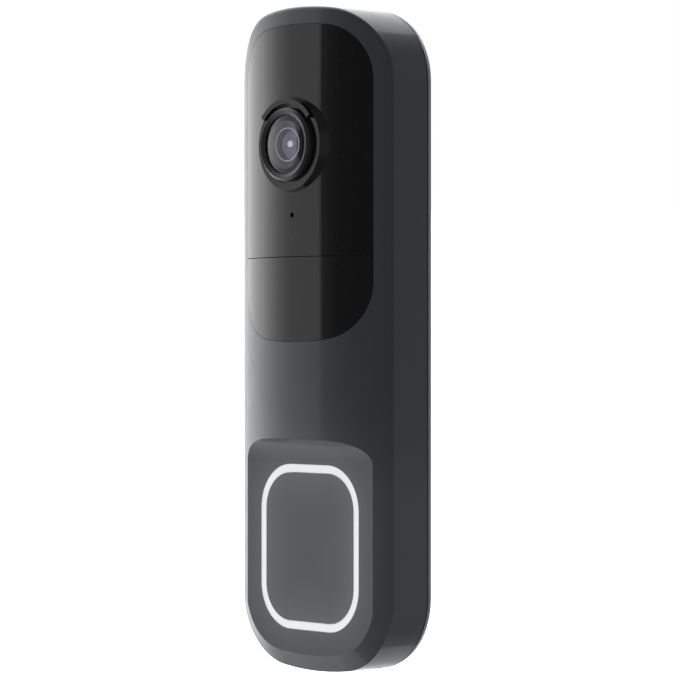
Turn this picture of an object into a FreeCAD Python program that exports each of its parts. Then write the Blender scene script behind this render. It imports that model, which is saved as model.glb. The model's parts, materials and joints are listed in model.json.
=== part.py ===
import FreeCAD, Part
import math
import os
import Sketcher

# Video doorbell, in millimetres. +Z is up, the wall is the plane y = 0 and the front faces -Y.
# The wall bracket is screwed to the wall; the doorbell unit hangs on its two hooks and is
# held by a security screw at the bottom.

DRIVING_SIZES = {
    # overall
    "body_height": 144.0,
    "body_width": 48.4,
    "body_depth": 18.9,
    "side_depth": 11.8,
    "corner_radius": 16.0,
    "end_radius": 80.0,
    "crease_round": 1.0,
    "shell_wall": 2.0,
    # parting between shell, seal, rear housing and wall
    "wall_gap": 0.2,
    "flange_thickness": 1.1,
    "flange_draft": 0.3,
    "seal_thickness": 0.3,
    "seal_inset": 0.5,
    "seal_width": 1.3,
    "fit_gap": 0.1,
    "plate_thickness": 1.6,
    "spigot_wall": 1.2,
    "spigot_depth": 2.8,
    "recess_inset": 5.0,
    # bracket
    "bracket_thickness": 1.8,
    "bracket_gap": 0.2,
    "bracket_side_gap": 1.0,
    "lift_travel": 6.5,
    "lift_gap": 0.5,
    "anchor_spacing": 88.0,
    "anchor_radius": 2.1,
    "anchor_head_radius": 4.0,
    "anchor_head_depth": 0.9,
    "window_half_width": 10.0,
    "window_below_terminals": 15.0,
    "window_height": 29.0,
    "hook_offset": 10.0,
    "hook_above_camera": 10.8,
    "hook_half_width": 2.5,
    "hook_stem": 2.0,
    "hook_lip": 3.5,
    "hook_lip_thickness": 1.3,
    "hook_gap": 0.25,
    "hook_cup_wall": 1.0,
    "lock_block_half_width": 5.0,
    "lock_block_height": 4.5,
    "lock_block_depth": 6.8,
    "boss_wall": 1.3,
    # security screw
    "lock_axis_depth": 4.7,
    "lock_shank_radius": 1.45,
    "lock_clearance": 0.05,
    "lock_length": 13.4,
    "lock_head_radius": 2.6,
    "lock_head_height": 1.6,
    "lock_washer_radius": 2.7,
    "lock_washer_thickness": 0.4,
    "lock_hole_radius": 2.95,
    # front glass, motion window and lens group
    "glass_side_margin": 3.8,
    "glass_top_margin": 3.9,
    "glass_length": 68.4,
    "glass_corner": 12.0,
    "glass_end_radius": 90.0,
    "glass_thickness": 1.2,
    "glass_gap": 0.1,
    "glass_ledge": 1.6,
    "motion_window_height": 18.3,
    "seam_gap": 0.16,
    "camera_below_glass_top": 25.9,
    "collar_base_radius": 10.95,
    "collar_rim_radius": 9.9,
    "collar_rise": 0.9,
    "collar_spigot_radius": 9.5,
    "visor_rise": 1.1,
    "visor_bore_radius": 8.8,
    "visor_angle": 104.0,
    "barrel_radius": 7.9,
    "barrel_rise": 2.5,
    "barrel_rear_radius": 6.2,
    "lens_gap": 0.08,
    "dome_radius": 6.4,
    "dome_rise": 0.9,
    "stop_radius": 3.6,
    "inner_lens_radius": 5.0,
    "microphone_below_camera": 15.2,
    "microphone_hole": 0.55,
    "light_sensor_below_camera": 20.0,
    "motion_sensor_above_glass_bottom": 9.3,
    "motion_can_radius": 4.6,
    # button area
    "facet_depth": 14.0,
    "facet_above_band": 0.45,
    "cove_radius": 5.4,
    "bevel_inset": 3.55,
    "band_above_bottom": 26.9,
    "band_half_width": 15.85,
    "band_half_height": 17.95,
    "band_corner": 9.7,
    "band_stroke": 1.65,
    "band_recess": 0.15,
    "band_flange": 1.35,
    "band_flange_thickness": 0.6,
    "button_gap": 0.15,
    "button_thickness": 1.8,
    # boards and what is on them
    "board_thickness": 1.0,
    "board_front": 10.2,
    "board_half_width": 14.9,
    "board_below_glass_top": 4.1,
    "board_spacing": 5.0,
    "button_board_half_width": 20.2,
    "button_board_half_height": 18.0,
    "camera_board_half": 9.5,
    "camera_board_thickness": 0.8,
    "holder_half": 7.0,
    "board_screw_radius": 0.8,
    "board_screw_head": 1.45,
    "case_screw_radius": 1.0,
    "case_screw_head": 1.9,
    "case_screw_side_margin": 6.8,
    "boss_radius": 2.2,
    "thread_gap": 0.03,
    # battery, speaker, terminals and tamper plunger
    "battery_half_width": 14.5,
    "battery_thickness": 4.4,
    "battery_gap": 1.0,
    "foam_thickness": 0.6,
    "speaker_half_width": 13.0,
    "speaker_height": 15.0,
    "speaker_depth": 4.1,
    "gasket_thickness": 0.25,
    "duct_flange": 0.5,
    "duct_wall": 0.7,
    "sound_slot_offset": 11.0,
    "sound_slot_length": 4.0,
    "sound_slot_width": 1.3,
    "terminal_below_camera": 22.2,
    "terminal_offset": 4.0,
    "terminal_half_width": 8.0,
    "terminal_half_height": 4.5,
    "terminal_cup_radius": 3.0,
    "terminal_cup_depth": 2.4,
    "terminal_screw_radius": 1.0,
    "terminal_head_radius": 2.4,
    "tamper_offset": 14.2,
    "tamper_radius": 1.5,
    "tamper_travel": 0.6,
}

doc = FreeCAD.newDocument("video_doorbell")
sheet = doc.addObject("Spreadsheet::Sheet", "dims")


class Size:
    """A length that carries its value and the spreadsheet expression it comes from."""

    def __init__(self, value, text):
        self.value = value
        self.text = text

    def __add__(self, other):
        other = as_size(other)
        return Size(self.value + other.value, f"({self.text} + {other.text})")

    def __sub__(self, other):
        other = as_size(other)
        return Size(self.value - other.value, f"({self.text} - {other.text})")

    def __mul__(self, other):
        other = as_size(other)
        return Size(self.value * other.value, f"({self.text} * {other.text})")

    def __truediv__(self, other):
        other = as_size(other)
        return Size(self.value / other.value, f"({self.text} / {other.text})")

    def __radd__(self, other):
        return as_size(other) + self

    def __rsub__(self, other):
        return as_size(other) - self

    def __rmul__(self, other):
        return as_size(other) * self

    def __neg__(self):
        return Size(-self.value, f"(0 - {self.text})")


def as_size(number):
    return number if isinstance(number, Size) else Size(float(number), f"({number})")


def root(size):
    return Size(math.sqrt(size.value), f"sqrt({size.text})")


def fill_sheet():
    """Write every driving size into the spreadsheet and return them as attributes."""
    sizes = type("Sizes", (), {})()
    for row, (alias, value) in enumerate(DRIVING_SIZES.items(), start=1):
        sheet.set(f"A{row}", alias)
        sheet.set(f"B{row}", str(value))
        sheet.setAlias(f"B{row}", alias)
        setattr(sizes, alias, Size(value, f"dims.{alias}"))
    doc.recompute()
    return sizes


d = fill_sheet()
parts = {}
X_AXIS, Y_AXIS, Z_AXIS = "x", "y", "z"
TURN_TO_AXIS = {
    X_AXIS: FreeCAD.Rotation(FreeCAD.Vector(0, 1, 0), 90),
    Y_AXIS: FreeCAD.Rotation(FreeCAD.Vector(1, 0, 0), -90),
    Z_AXIS: FreeCAD.Rotation(),
}


def bind(target, name, size):
    target.setExpression(name, as_size(size).text)


def place(target, x, y, z):
    bind(target, "Placement.Base.x", x)
    bind(target, "Placement.Base.y", y)
    bind(target, "Placement.Base.z", z)


def box(label, x_range, y_range, z_range):
    """A box between two corners."""
    solid = doc.addObject("Part::Box", label)
    for name, (low, high) in zip(("Length", "Width", "Height"), (x_range, y_range, z_range)):
        bind(solid, name, as_size(high) - as_size(low))
    place(solid, x_range[0], y_range[0], z_range[0])
    return solid


def rod(label, axis, start, length, radius):
    """A cylinder from the point start, along +axis."""
    solid = doc.addObject("Part::Cylinder", label)
    solid.Placement = FreeCAD.Placement(FreeCAD.Vector(), TURN_TO_AXIS[axis])
    bind(solid, "Radius", radius)
    bind(solid, "Height", length)
    place(solid, *start)
    return solid


def peg(label, x, z, y_range, radius):
    """A cylinder along Y between two depths."""
    return rod(label, Y_AXIS, (x, y_range[0], z), as_size(y_range[1]) - as_size(y_range[0]), radius)


def cone(label, x, z, y_range, rear_radius, front_radius):
    """A cone along Y; y_range runs from the front to the rear."""
    solid = doc.addObject("Part::Cone", label)
    solid.Placement = FreeCAD.Placement(FreeCAD.Vector(), TURN_TO_AXIS[Y_AXIS])
    bind(solid, "Radius1", front_radius)
    bind(solid, "Radius2", rear_radius)
    bind(solid, "Height", as_size(y_range[1]) - as_size(y_range[0]))
    place(solid, x, y_range[0], z)
    return solid


def fuse(label, *solids):
    joined = doc.addObject("Part::MultiFuse", label)
    joined.Shapes = list(solids)
    return joined


def common(label, *solids):
    shared = doc.addObject("Part::MultiCommon", label)
    shared.Shapes = list(solids)
    return shared


def cut(label, base, *tools):
    tool = tools[0] if len(tools) == 1 else fuse(label + "_tools", *tools)
    result = doc.addObject("Part::Cut", label)
    result.Base = base
    result.Tool = tool
    return result


def hold(sketch, kind, *args):
    """Add a constraint whose last argument is a Size bound to the sheet."""
    size = as_size(args[-1])
    index = sketch.addConstraint(Sketcher.Constraint(kind, *args[:-1], size.value))
    sketch.setExpression(f"Constraints[{index}]", size.text)


def sketch_at(body, label, depth):
    """A sketch parallel to the wall, at the given y."""
    sketch = body.newObject("Sketcher::SketchObject", label)
    plane = next(f for f in body.Origin.OriginFeatures if f.Role == "XZ_Plane")
    sketch.AttachmentSupport = [(plane, "")]
    sketch.MapMode = "FlatFace"
    bind(sketch, "AttachmentOffset.Base.z", -as_size(depth))
    return sketch


ORIGIN, START, END, CENTRE = -1, 1, 2, 3
VERTICAL_AXIS = -2


def arc(centre_x, centre_z, radius, start, end):
    circle = Part.Circle(FreeCAD.Vector(centre_x, centre_z, 0), FreeCAD.Vector(0, 0, 1), radius)
    return Part.ArcOfCircle(circle, start, end)


def line(x0, z0, x1, z1):
    return Part.LineSegment(FreeCAD.Vector(x0, z0, 0), FreeCAD.Vector(x1, z1, 0))


def draw_outline(sketch, half_width, top, bottom, corner, end_radius):
    """An upright shape with straight sides, round corners and gently arched ends."""
    a, c, r = half_width.value, corner.value, end_radius.value
    rise = math.sqrt((r - c) ** 2 - (a - c) ** 2)
    high, low = top.value - r, bottom.value + r
    lean = math.atan2(rise, a - c)
    corner_high, corner_low = high + rise, low - rise
    shapes = [
        arc(0, high, r, lean, math.pi - lean),
        arc(-(a - c), corner_high, c, math.pi - lean, math.pi),
        line(-a, corner_high, -a, corner_low),
        arc(-(a - c), corner_low, c, math.pi, math.pi + lean),
        arc(0, low, r, math.pi + lean, 2 * math.pi - lean),
        arc(a - c, corner_low, c, 2 * math.pi - lean, 2 * math.pi),
        line(a, corner_low, a, corner_high),
        arc(a - c, corner_high, c, 0, lean),
    ]
    ids = sketch.addGeometry(shapes, False)
    for index, shape in enumerate(ids):
        following = ids[(index + 1) % len(ids)]
        sketch.addConstraint(Sketcher.Constraint("Tangent", shape, END, following, START))
    top_arc, left_line, bottom_arc, right_line = ids[0], ids[2], ids[4], ids[6]
    for side in (left_line, right_line):
        sketch.addConstraint(Sketcher.Constraint("Vertical", side))
    for end_arc in (top_arc, bottom_arc):
        sketch.addConstraint(Sketcher.Constraint("PointOnObject", end_arc, CENTRE, VERTICAL_AXIS))
        hold(sketch, "Radius", end_arc, end_radius)
    for corner_arc in (ids[1], ids[3], ids[5], ids[7]):
        hold(sketch, "Radius", corner_arc, corner)
    hold(sketch, "DistanceX", ORIGIN, START, left_line, START, -half_width)
    hold(sketch, "DistanceX", ORIGIN, START, right_line, START, half_width)
    hold(sketch, "DistanceY", ORIGIN, START, top_arc, CENTRE, top - end_radius)
    hold(sketch, "DistanceY", ORIGIN, START, bottom_arc, CENTRE, bottom + end_radius)


def draw_rectangle(sketch, x_range, z_range, corner):
    """A rectangle with round corners."""
    (x0, x1), (z0, z1) = [[as_size(v) for v in pair] for pair in (x_range, z_range)]
    left, right, low, high, c = x0.value, x1.value, z0.value, z1.value, as_size(corner).value
    quarter = math.pi / 2
    shapes = [
        line(right, low + c, right, high - c),
        arc(right - c, high - c, c, 0, quarter),
        line(right - c, high, left + c, high),
        arc(left + c, high - c, c, quarter, 2 * quarter),
        line(left, high - c, left, low + c),
        arc(left + c, low + c, c, 2 * quarter, 3 * quarter),
        line(left + c, low, right - c, low),
        arc(right - c, low + c, c, 3 * quarter, 4 * quarter),
    ]
    ids = sketch.addGeometry(shapes, False)
    for index, shape in enumerate(ids):
        following = ids[(index + 1) % len(ids)]
        sketch.addConstraint(Sketcher.Constraint("Tangent", shape, END, following, START))
    for index in (0, 4):
        sketch.addConstraint(Sketcher.Constraint("Vertical", ids[index]))
    for index in (2, 6):
        sketch.addConstraint(Sketcher.Constraint("Horizontal", ids[index]))
    for index in (1, 3, 5, 7):
        hold(sketch, "Radius", ids[index], corner)
    hold(sketch, "DistanceX", ORIGIN, START, ids[0], START, x1)
    hold(sketch, "DistanceX", ORIGIN, START, ids[4], START, x0)
    hold(sketch, "DistanceY", ORIGIN, START, ids[2], START, z1)
    hold(sketch, "DistanceY", ORIGIN, START, ids[6], START, z0)


def draw_circle(sketch, x, z, radius):
    x, z, radius = as_size(x), as_size(z), as_size(radius)
    centre = FreeCAD.Vector(x.value, z.value, 0)
    index = sketch.addGeometry(Part.Circle(centre, FreeCAD.Vector(0, 0, 1), radius.value), False)
    hold(sketch, "Radius", index, radius)
    hold(sketch, "DistanceX", ORIGIN, START, index, CENTRE, x)
    hold(sketch, "DistanceY", ORIGIN, START, index, CENTRE, z)


def padded(label, rear, front, draw, *args):
    """A body padded from y = rear to y = front (front is the more negative)."""
    body = doc.addObject("PartDesign::Body", label)
    sketch = sketch_at(body, label + "_profile", rear)
    draw(sketch, *args)
    pad = body.newObject("PartDesign::Pad", label + "_pad")
    pad.Profile = sketch
    bind(pad, "Length", as_size(rear) - as_size(front))
    return body


def add_pad(body, label, rear, front, draw, *args):
    sketch = sketch_at(body, label + "_profile", rear)
    draw(sketch, *args)
    pad = body.newObject("PartDesign::Pad", label)
    pad.Profile = sketch
    bind(pad, "Length", as_size(rear) - as_size(front))


def add_pocket(body, label, front, rear, draw, *args):
    """Cut from y = front towards the wall, to y = rear."""
    sketch = sketch_at(body, label + "_profile", front)
    draw(sketch, *args)
    pocket = body.newObject("PartDesign::Pocket", label)
    pocket.Profile = sketch
    bind(pocket, "Length", as_size(rear) - as_size(front))


def inset_outline(inset):
    """Arguments for draw_outline: the body's outline moved inwards."""
    half_height = d.body_height / 2 - inset
    return (d.body_width / 2 - inset, half_height, -half_height,
            d.corner_radius - inset, d.end_radius - inset)


def glass_outline(inset):
    return (GLASS_HALF_WIDTH - inset, GLASS_TOP - inset, GLASS_BOTTOM + inset,
            d.glass_corner - inset, d.glass_end_radius - inset)


# Depths along Y, all negative towards the visitor.
CUT_PAST = 6.0
APEX = -d.body_depth
CREASE = -d.side_depth
RIM_REAR = -d.wall_gap
FLANGE_FRONT = RIM_REAR - d.flange_thickness
SHELL_REAR = FLANGE_FRONT - d.seal_thickness
RECESS_FLOOR = -(d.bracket_thickness + d.bracket_gap)
PLATE_FRONT = RECESS_FLOOR - d.plate_thickness
FACET = -d.facet_depth
FACET_BACK = FACET + d.shell_wall
BOARD_FRONT = -d.board_front
BOARD_REAR = BOARD_FRONT + d.board_thickness
HALF_WIDTH = d.body_width / 2
HALF_HEIGHT = d.body_height / 2
CROWN_RISE = d.body_depth - d.side_depth
CROWN_RADIUS = (HALF_WIDTH * HALF_WIDTH + CROWN_RISE * CROWN_RISE) / (2 * CROWN_RISE)
CROWN_AXIS = APEX + CROWN_RADIUS
GLASS_BACK = APEX + d.glass_thickness
HOUSING_INSET = d.shell_wall + d.fit_gap
BRACKET_INSET = d.recess_inset + d.bracket_side_gap
BRACKET_BOTTOM = -(HALF_HEIGHT - BRACKET_INSET) + d.lift_travel + d.lift_gap
LOCK_BLOCK_TOP = BRACKET_BOTTOM + d.lock_block_height
POCKET_BOTTOM = BRACKET_BOTTOM - d.lift_travel - 1.5
POCKET_TOP = LOCK_BLOCK_TOP + 0.3
BOSS_WALL = d.boss_wall
BOSS_TOP = POCKET_TOP + BOSS_WALL
BOSS_FRONT = -(d.lock_block_depth + 0.6 + BOSS_WALL)
SPIGOT_BOTTOM = -(HALF_HEIGHT - HOUSING_INSET)
LOCK_SEAT = SPIGOT_BOTTOM + 0.5
LOCK_AXIS = -d.lock_axis_depth

# Heights along Z: the camera group is set out from the top, the button group from the bottom.
GLASS_HALF_WIDTH = HALF_WIDTH - d.glass_side_margin
GLASS_TOP = HALF_HEIGHT - d.glass_top_margin
GLASS_BOTTOM = GLASS_TOP - d.glass_length
GLASS_SEAM = GLASS_BOTTOM + d.motion_window_height
CAMERA = GLASS_TOP - d.camera_below_glass_top
MICROPHONE = CAMERA - d.microphone_below_camera
LIGHT_SENSOR = CAMERA - d.light_sensor_below_camera
MOTION_SENSOR = GLASS_BOTTOM + d.motion_sensor_above_glass_bottom
TERMINALS = CAMERA - d.terminal_below_camera
HOOKS = CAMERA + d.hook_above_camera
BAND = -HALF_HEIGHT + d.band_above_bottom
FACET_TOP = BAND + d.band_half_height + d.facet_above_band
BUTTON_BOARD_TOP = BAND + d.button_board_half_height
BUTTON_BOARD_BOTTOM = BAND - d.button_board_half_height
BOARD_TOP = GLASS_TOP - d.board_below_glass_top
BOARD_BOTTOM = BUTTON_BOARD_TOP + d.board_spacing
GASKET_LOW = BOSS_TOP + 0.1 + d.duct_flange
SPEAKER_LOW = GASKET_LOW + d.gasket_thickness
SPEAKER_HIGH = SPEAKER_LOW + d.speaker_height
BATTERY_BOTTOM = SPEAKER_HIGH + d.battery_gap
BATTERY_TOP = TERMINALS - d.terminal_half_height - 2.5 - d.battery_gap


def crown_depth(x, inset):
    """The y of the crowned face, moved inwards by inset, at the distance x from the middle."""
    radius = CROWN_RADIUS - inset
    return CROWN_AXIS - root(radius * radius - x * x)


def crown(label, inset):
    """The cylinder whose front skin is the crowned face, moved inwards by inset."""
    tall = HALF_HEIGHT + CUT_PAST
    return rod(label, Z_AXIS, (0, CROWN_AXIS, -tall), 2 * tall, CROWN_RADIUS - inset)


def cove(label, facet, radius):
    """Everything in front of the button area: a flat step that ends in a quarter-round cove."""
    reach = HALF_WIDTH + CUT_PAST
    front = APEX - CUT_PAST
    below = box(label + "_flat", (-reach, reach), (front, facet),
                (-HALF_HEIGHT - CUT_PAST, FACET_TOP))
    axis_depth = FACET - d.cove_radius
    above = rod(label + "_round", X_AXIS, (-reach, axis_depth, FACET_TOP), 2 * reach, radius)
    return fuse(label, below, above)


def tapered(label, rear, rear_inset, front, front_inset):
    """A solid between the body's outline at two depths, each with its own inset."""
    sections = []
    for end, depth, inset in (("rear", rear, rear_inset), ("front", front, front_inset)):
        body = doc.addObject("PartDesign::Body", f"{label}_{end}")
        sketch = sketch_at(body, f"{label}_{end}_profile", depth)
        draw_outline(sketch, *inset_outline(as_size(inset)))
        sections.append(sketch)
    loft = doc.addObject("Part::Loft", label)
    loft.Sections = sections
    loft.Solid = True
    loft.Ruled = True
    return loft


def bevel_cutter():
    """Removes what stands outside the sloping face round the lower end."""
    past = 1.0
    spare = 0.1
    slope = (d.bevel_inset + spare) / (d.facet_depth - d.side_depth)
    slope_solid = tapered("bevel_slope", CREASE + past, -spare - past * slope,
                          FACET - past, d.bevel_inset + past * slope)
    reach = HALF_WIDTH + CUT_PAST
    zone = box("bevel_zone", (-reach, reach), (FACET - past, CREASE),
               (-HALF_HEIGHT - CUT_PAST, -HALF_HEIGHT / 2))
    return cut("bevel_cutter", zone, slope_solid)


def sound_slots(label, z_low, z_high, spare):
    """Two obround holes through the bottom wall, one each side."""
    tools = []
    for side, sign in SIDES:
        middle = sign * d.sound_slot_offset
        half_width = d.sound_slot_width / 2 + spare
        reach = (d.sound_slot_length - d.sound_slot_width) / 2
        depth = LOCK_AXIS
        name = f"{label}_{side}"
        tools.append(box(name + "_box", (middle - reach, middle + reach),
                         (depth - half_width, depth + half_width), (z_low, z_high)))
        for end, way in (("a", -1), ("b", 1)):
            tools.append(rod(f"{name}_{end}", Z_AXIS, (middle + way * reach, depth, z_low),
                             as_size(z_high) - as_size(z_low), half_width))
    return tools


SIDES = (("left", -1), ("right", 1))
CASE_SCREW_X = HALF_WIDTH - d.case_screw_side_margin
CASE_SCREW_HEIGHTS = (HALF_HEIGHT - 16.0, TERMINALS - 5.5, BUTTON_BOARD_TOP + 3.5)
CASE_SCREW_PLACES = [(sign * CASE_SCREW_X, z) for _, sign in SIDES for z in CASE_SCREW_HEIGHTS]
BUTTON_POST_X = d.button_board_half_width - 2.8
BUTTON_POST_HEIGHTS = (BUTTON_BOARD_TOP - 4.0, BUTTON_BOARD_BOTTOM + 3.0)
BUTTON_POST_PLACES = [(sign * BUTTON_POST_X, z) for _, sign in SIDES for z in BUTTON_POST_HEIGHTS]
BOARD_POST_X = d.board_half_width - 2.0
BOARD_POST_HEIGHTS = (TERMINALS - 4.8, CAMERA - 2.2)
BOARD_POST_PLACES = [(sign * BOARD_POST_X, z) for _, sign in SIDES for z in BOARD_POST_HEIGHTS]
CASE_BOSS_FRONT = -(d.side_depth - 0.8)


def soften_crease(blank):
    """Round the edge where the crowned face meets the side walls."""
    doc.recompute()
    spare = 0.01
    rounded = doc.addObject("Part::Fillet", blank.Label + "_rounded")
    rounded.Base = blank
    rounded.Edges = [(number, d.crease_round.value, d.crease_round.value)
                     for number, edge in enumerate(blank.Shape.Edges, start=1)
                     if edge.BoundBox.YMax < CREASE.value + spare]
    return rounded


def front_shell():
    blank = common("shell_blank",
                   padded("shell_prism", SHELL_REAR, APEX - 1, draw_outline, *inset_outline(as_size(0))),
                   crown("shell_crown", 0))
    cavity = cut("shell_cavity",
                 common("cavity_blank",
                        padded("cavity_prism", SHELL_REAR + 1, APEX, draw_outline,
                               *inset_outline(d.shell_wall)),
                        crown("cavity_crown", d.shell_wall)),
                 cove("cavity_cove", FACET_BACK, d.cove_radius + d.shell_wall))
    recess = cut("glass_recess",
                 padded("glass_recess_prism", CREASE + 2, APEX - 1, draw_outline,
                        *glass_outline(-d.glass_gap)),
                 crown("glass_recess_floor", d.glass_thickness))
    opening = padded("glass_opening", CREASE + 2, APEX - 1, draw_outline,
                     *glass_outline(d.glass_ledge))
    band_half_x = d.band_half_width + d.fit_gap
    band_half_z = d.band_half_height + d.fit_gap
    button_opening = padded("button_opening", FACET_BACK + 1, FACET - 1, draw_rectangle,
                            (-band_half_x, band_half_x),
                            (BAND - band_half_z, BAND + band_half_z),
                            d.band_corner + d.fit_gap)
    screw_hole = rod("lock_head_hole", Z_AXIS, (0, LOCK_AXIS, -HALF_HEIGHT - 1),
                     d.shell_wall + 3, d.lock_hole_radius)
    hollow = cut("shell_hollow", soften_crease(blank),
                 cove("outer_cove", FACET, d.cove_radius), bevel_cutter(),
                 cavity, recess, opening, button_opening, screw_hole,
                 *sound_slots("shell_slot", -HALF_HEIGHT - 1, -HALF_HEIGHT + d.shell_wall + 2, 0))
    posts = []
    drills = []
    inner_half_width = HALF_WIDTH - d.shell_wall
    for number, (x, z) in enumerate(CASE_SCREW_PLACES):
        name = f"case_boss_{number}"
        posts.append(peg(name, x, z, (CASE_BOSS_FRONT, PLATE_FRONT - 0.05), d.boss_radius))
        side = (x, inner_half_width + 0.5) if x.value > 0 else (-inner_half_width - 0.5, x)
        web = 0.6
        posts.append(box(name + "_web", side, (CASE_BOSS_FRONT, PLATE_FRONT - d.spigot_depth - 0.4),
                         (z - web, z + web)))
        drills.append(peg(name + "_drill", x, z, (CASE_BOSS_FRONT + 1, PLATE_FRONT + 1),
                          d.case_screw_radius + d.thread_gap))
    for number, (x, z) in enumerate(BUTTON_POST_PLACES):
        name = f"button_post_{number}"
        posts.append(peg(name, x, z, (FACET_BACK - 0.5, BOARD_FRONT), 1.5))
        drills.append(peg(name + "_drill", x, z, (FACET_BACK, BOARD_FRONT + 1),
                          d.board_screw_radius + d.thread_gap))
    stop_x = d.board_half_width - 2.9
    for name, sign in SIDES:
        posts.append(peg(f"board_stop_{name}", sign * stop_x, BOARD_BOTTOM + 4.0,
                         (crown_depth(stop_x, d.shell_wall / 2), BOARD_FRONT - 0.05), 1.4))
    parts["front_shell"] = cut("front_shell", fuse("shell_with_posts", hollow, *posts), *drills)


def glass_panels():
    blank = cut("glass_blank",
                common("glass_stock",
                       padded("glass_prism", CREASE + 1, APEX - 1, draw_outline,
                              *glass_outline(as_size(0))),
                       crown("glass_face", 0)),
                crown("glass_rear_face", d.glass_thickness - 0.02))
    reach = HALF_WIDTH + CUT_PAST
    half_seam = d.seam_gap / 2
    upper = box("glass_upper_zone", (-reach, reach), (APEX - 1, CREASE + 2),
                (GLASS_SEAM + half_seam, HALF_HEIGHT))
    lower = box("glass_lower_zone", (-reach, reach), (APEX - 1, CREASE + 2),
                (-HALF_HEIGHT / 2, GLASS_SEAM - half_seam))
    parts["camera_glass"] = cut("camera_glass", common("camera_glass_blank", blank, upper),
                                peg("collar_hole", 0, CAMERA, (APEX - 1, CREASE),
                                    d.collar_spigot_radius + 0.05),
                                peg("microphone_hole_cut", 0, MICROPHONE, (APEX - 1, CREASE),
                                    d.microphone_hole))
    parts["pir_window"] = common("pir_window", blank, lower)
    sheet_back = d.glass_thickness + 0.7
    sheet_half = GLASS_HALF_WIDTH - 8.4
    parts["fresnel_lens"] = common(
        "fresnel_lens",
        cut("fresnel_sheet", crown("fresnel_face", d.glass_thickness + 0.05),
            crown("fresnel_rear", sheet_back)),
        box("fresnel_zone", (-sheet_half, sheet_half), (APEX, CREASE),
            (MOTION_SENSOR - 6.5, MOTION_SENSOR + 6.5)))


def camera_collar():
    rim = APEX - d.collar_rise
    base = APEX + 1.6
    z = CAMERA
    ring = fuse("collar_stock",
                cut("collar_cone",
                    cone("collar_cone_blank", 0, z, (rim, base), d.collar_base_radius, d.collar_rim_radius),
                    crown("collar_seat", -0.03)),
                peg("collar_spigot", 0, z, (APEX - 0.2, APEX + 3.6), d.collar_spigot_radius))
    hood = doc.addObject("Part::Cylinder", "visor_blank")
    start = 90 - d.visor_angle.value / 2
    hood.Placement = FreeCAD.Placement(
        FreeCAD.Vector(),
        FreeCAD.Rotation(FreeCAD.Vector(1, 0, 0), 90) * FreeCAD.Rotation(FreeCAD.Vector(0, 0, 1), start))
    bind(hood, "Radius", d.collar_rim_radius)
    bind(hood, "Height", d.visor_rise + 0.1)
    bind(hood, "Angle", d.visor_angle)
    place(hood, 0, rim + 0.1, z)
    visor = cut("visor", hood, peg("visor_bore", 0, z, (rim - 3, rim + 1), d.visor_bore_radius))
    bore = peg("collar_bore", 0, z, (rim - 3, APEX + 5), d.barrel_radius + d.lens_gap)
    relief = peg("collar_relief", 0, z, (rim - 3, rim + 0.4), d.visor_bore_radius - 0.3)
    parts["camera_collar"] = cut("camera_collar", fuse("collar_with_visor", ring, visor), bore, relief)


def lens_group():
    z = CAMERA
    face = APEX - d.barrel_rise
    shoulder = APEX + 4.4
    tail = APEX + 7.6
    seat = face + 1.1
    body = fuse("barrel_stock",
                peg("barrel_front", 0, z, (face + 0.5, shoulder), d.barrel_radius),
                cone("barrel_bevel", 0, z, (face, face + 0.5), d.barrel_radius, d.barrel_radius - 0.5),
                peg("barrel_rear", 0, z, (shoulder - 0.1, tail), d.barrel_rear_radius))
    parts["lens_barrel"] = cut("lens_barrel", body,
                               peg("dome_seat", 0, z, (face - 1, seat), d.dome_radius + 0.03),
                               cone("barrel_funnel", 0, z, (face - 0.01, face + 0.4),
                                    d.dome_radius + 0.03, d.dome_radius + 0.9),
                               peg("barrel_bore", 0, z, (face, tail + 1), d.inner_lens_radius + 0.15))
    dome_edge = seat - 0.45
    ball_radius = (d.dome_radius * d.dome_radius + d.dome_rise * d.dome_rise) / (2 * d.dome_rise)
    ball = doc.addObject("Part::Sphere", "dome_ball")
    bind(ball, "Radius", ball_radius)
    place(ball, 0, dome_edge - d.dome_rise + ball_radius, z)
    parts["lens_dome"] = common("lens_dome", ball,
                                peg("dome_blank", 0, z, (dome_edge - 2, seat), d.dome_radius))
    stop_front = seat + 0.05
    parts["lens_stop"] = cut("lens_stop",
                             peg("stop_blank", 0, z, (stop_front, stop_front + 0.6),
                                 d.inner_lens_radius + 0.1),
                             cone("stop_funnel", 0, z, (stop_front - 0.01, stop_front + 0.61),
                                  d.stop_radius, d.stop_radius + 0.35))
    inner_front = stop_front + 0.65
    inner_ball_radius = 8.0
    inner_ball = doc.addObject("Part::Sphere", "inner_ball")
    bind(inner_ball, "Radius", inner_ball_radius)
    place(inner_ball, 0, inner_front + inner_ball_radius, z)
    parts["lens_inner"] = common("lens_inner", inner_ball,
                                 peg("inner_blank", 0, z, (inner_front, inner_front + 3.2),
                                     d.inner_lens_radius))
    board_front = BOARD_REAR + 0.6
    holder_front = shoulder + 0.05
    half = d.holder_half
    parts["lens_holder"] = cut("lens_holder",
                               padded("holder_blank", board_front, holder_front, draw_rectangle,
                                      (-half, half), (z - half, z + half), 1.2),
                               peg("holder_bore", 0, z, (holder_front - 1, board_front + 1),
                                   d.barrel_rear_radius + 0.03))
    parts["image_sensor"] = padded("image_sensor", board_front, board_front - 0.9, draw_rectangle,
                                   (-3.8, 3.8), (z - 3.4, z + 3.4), 0.3)
    half = d.camera_board_half
    parts["camera_board"] = padded("camera_board", board_front + d.camera_board_thickness, board_front,
                                   draw_rectangle, (-half, half), (z - half, z + half), 1.0)


def chip(label, x, z, width, height, thickness, corner=0.3):
    """A flat package on the front of the main board."""
    return padded(label, BOARD_FRONT, BOARD_FRONT - thickness, draw_rectangle,
                  (x - width / 2, x + width / 2), (z - height / 2, z + height / 2), corner)


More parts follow.
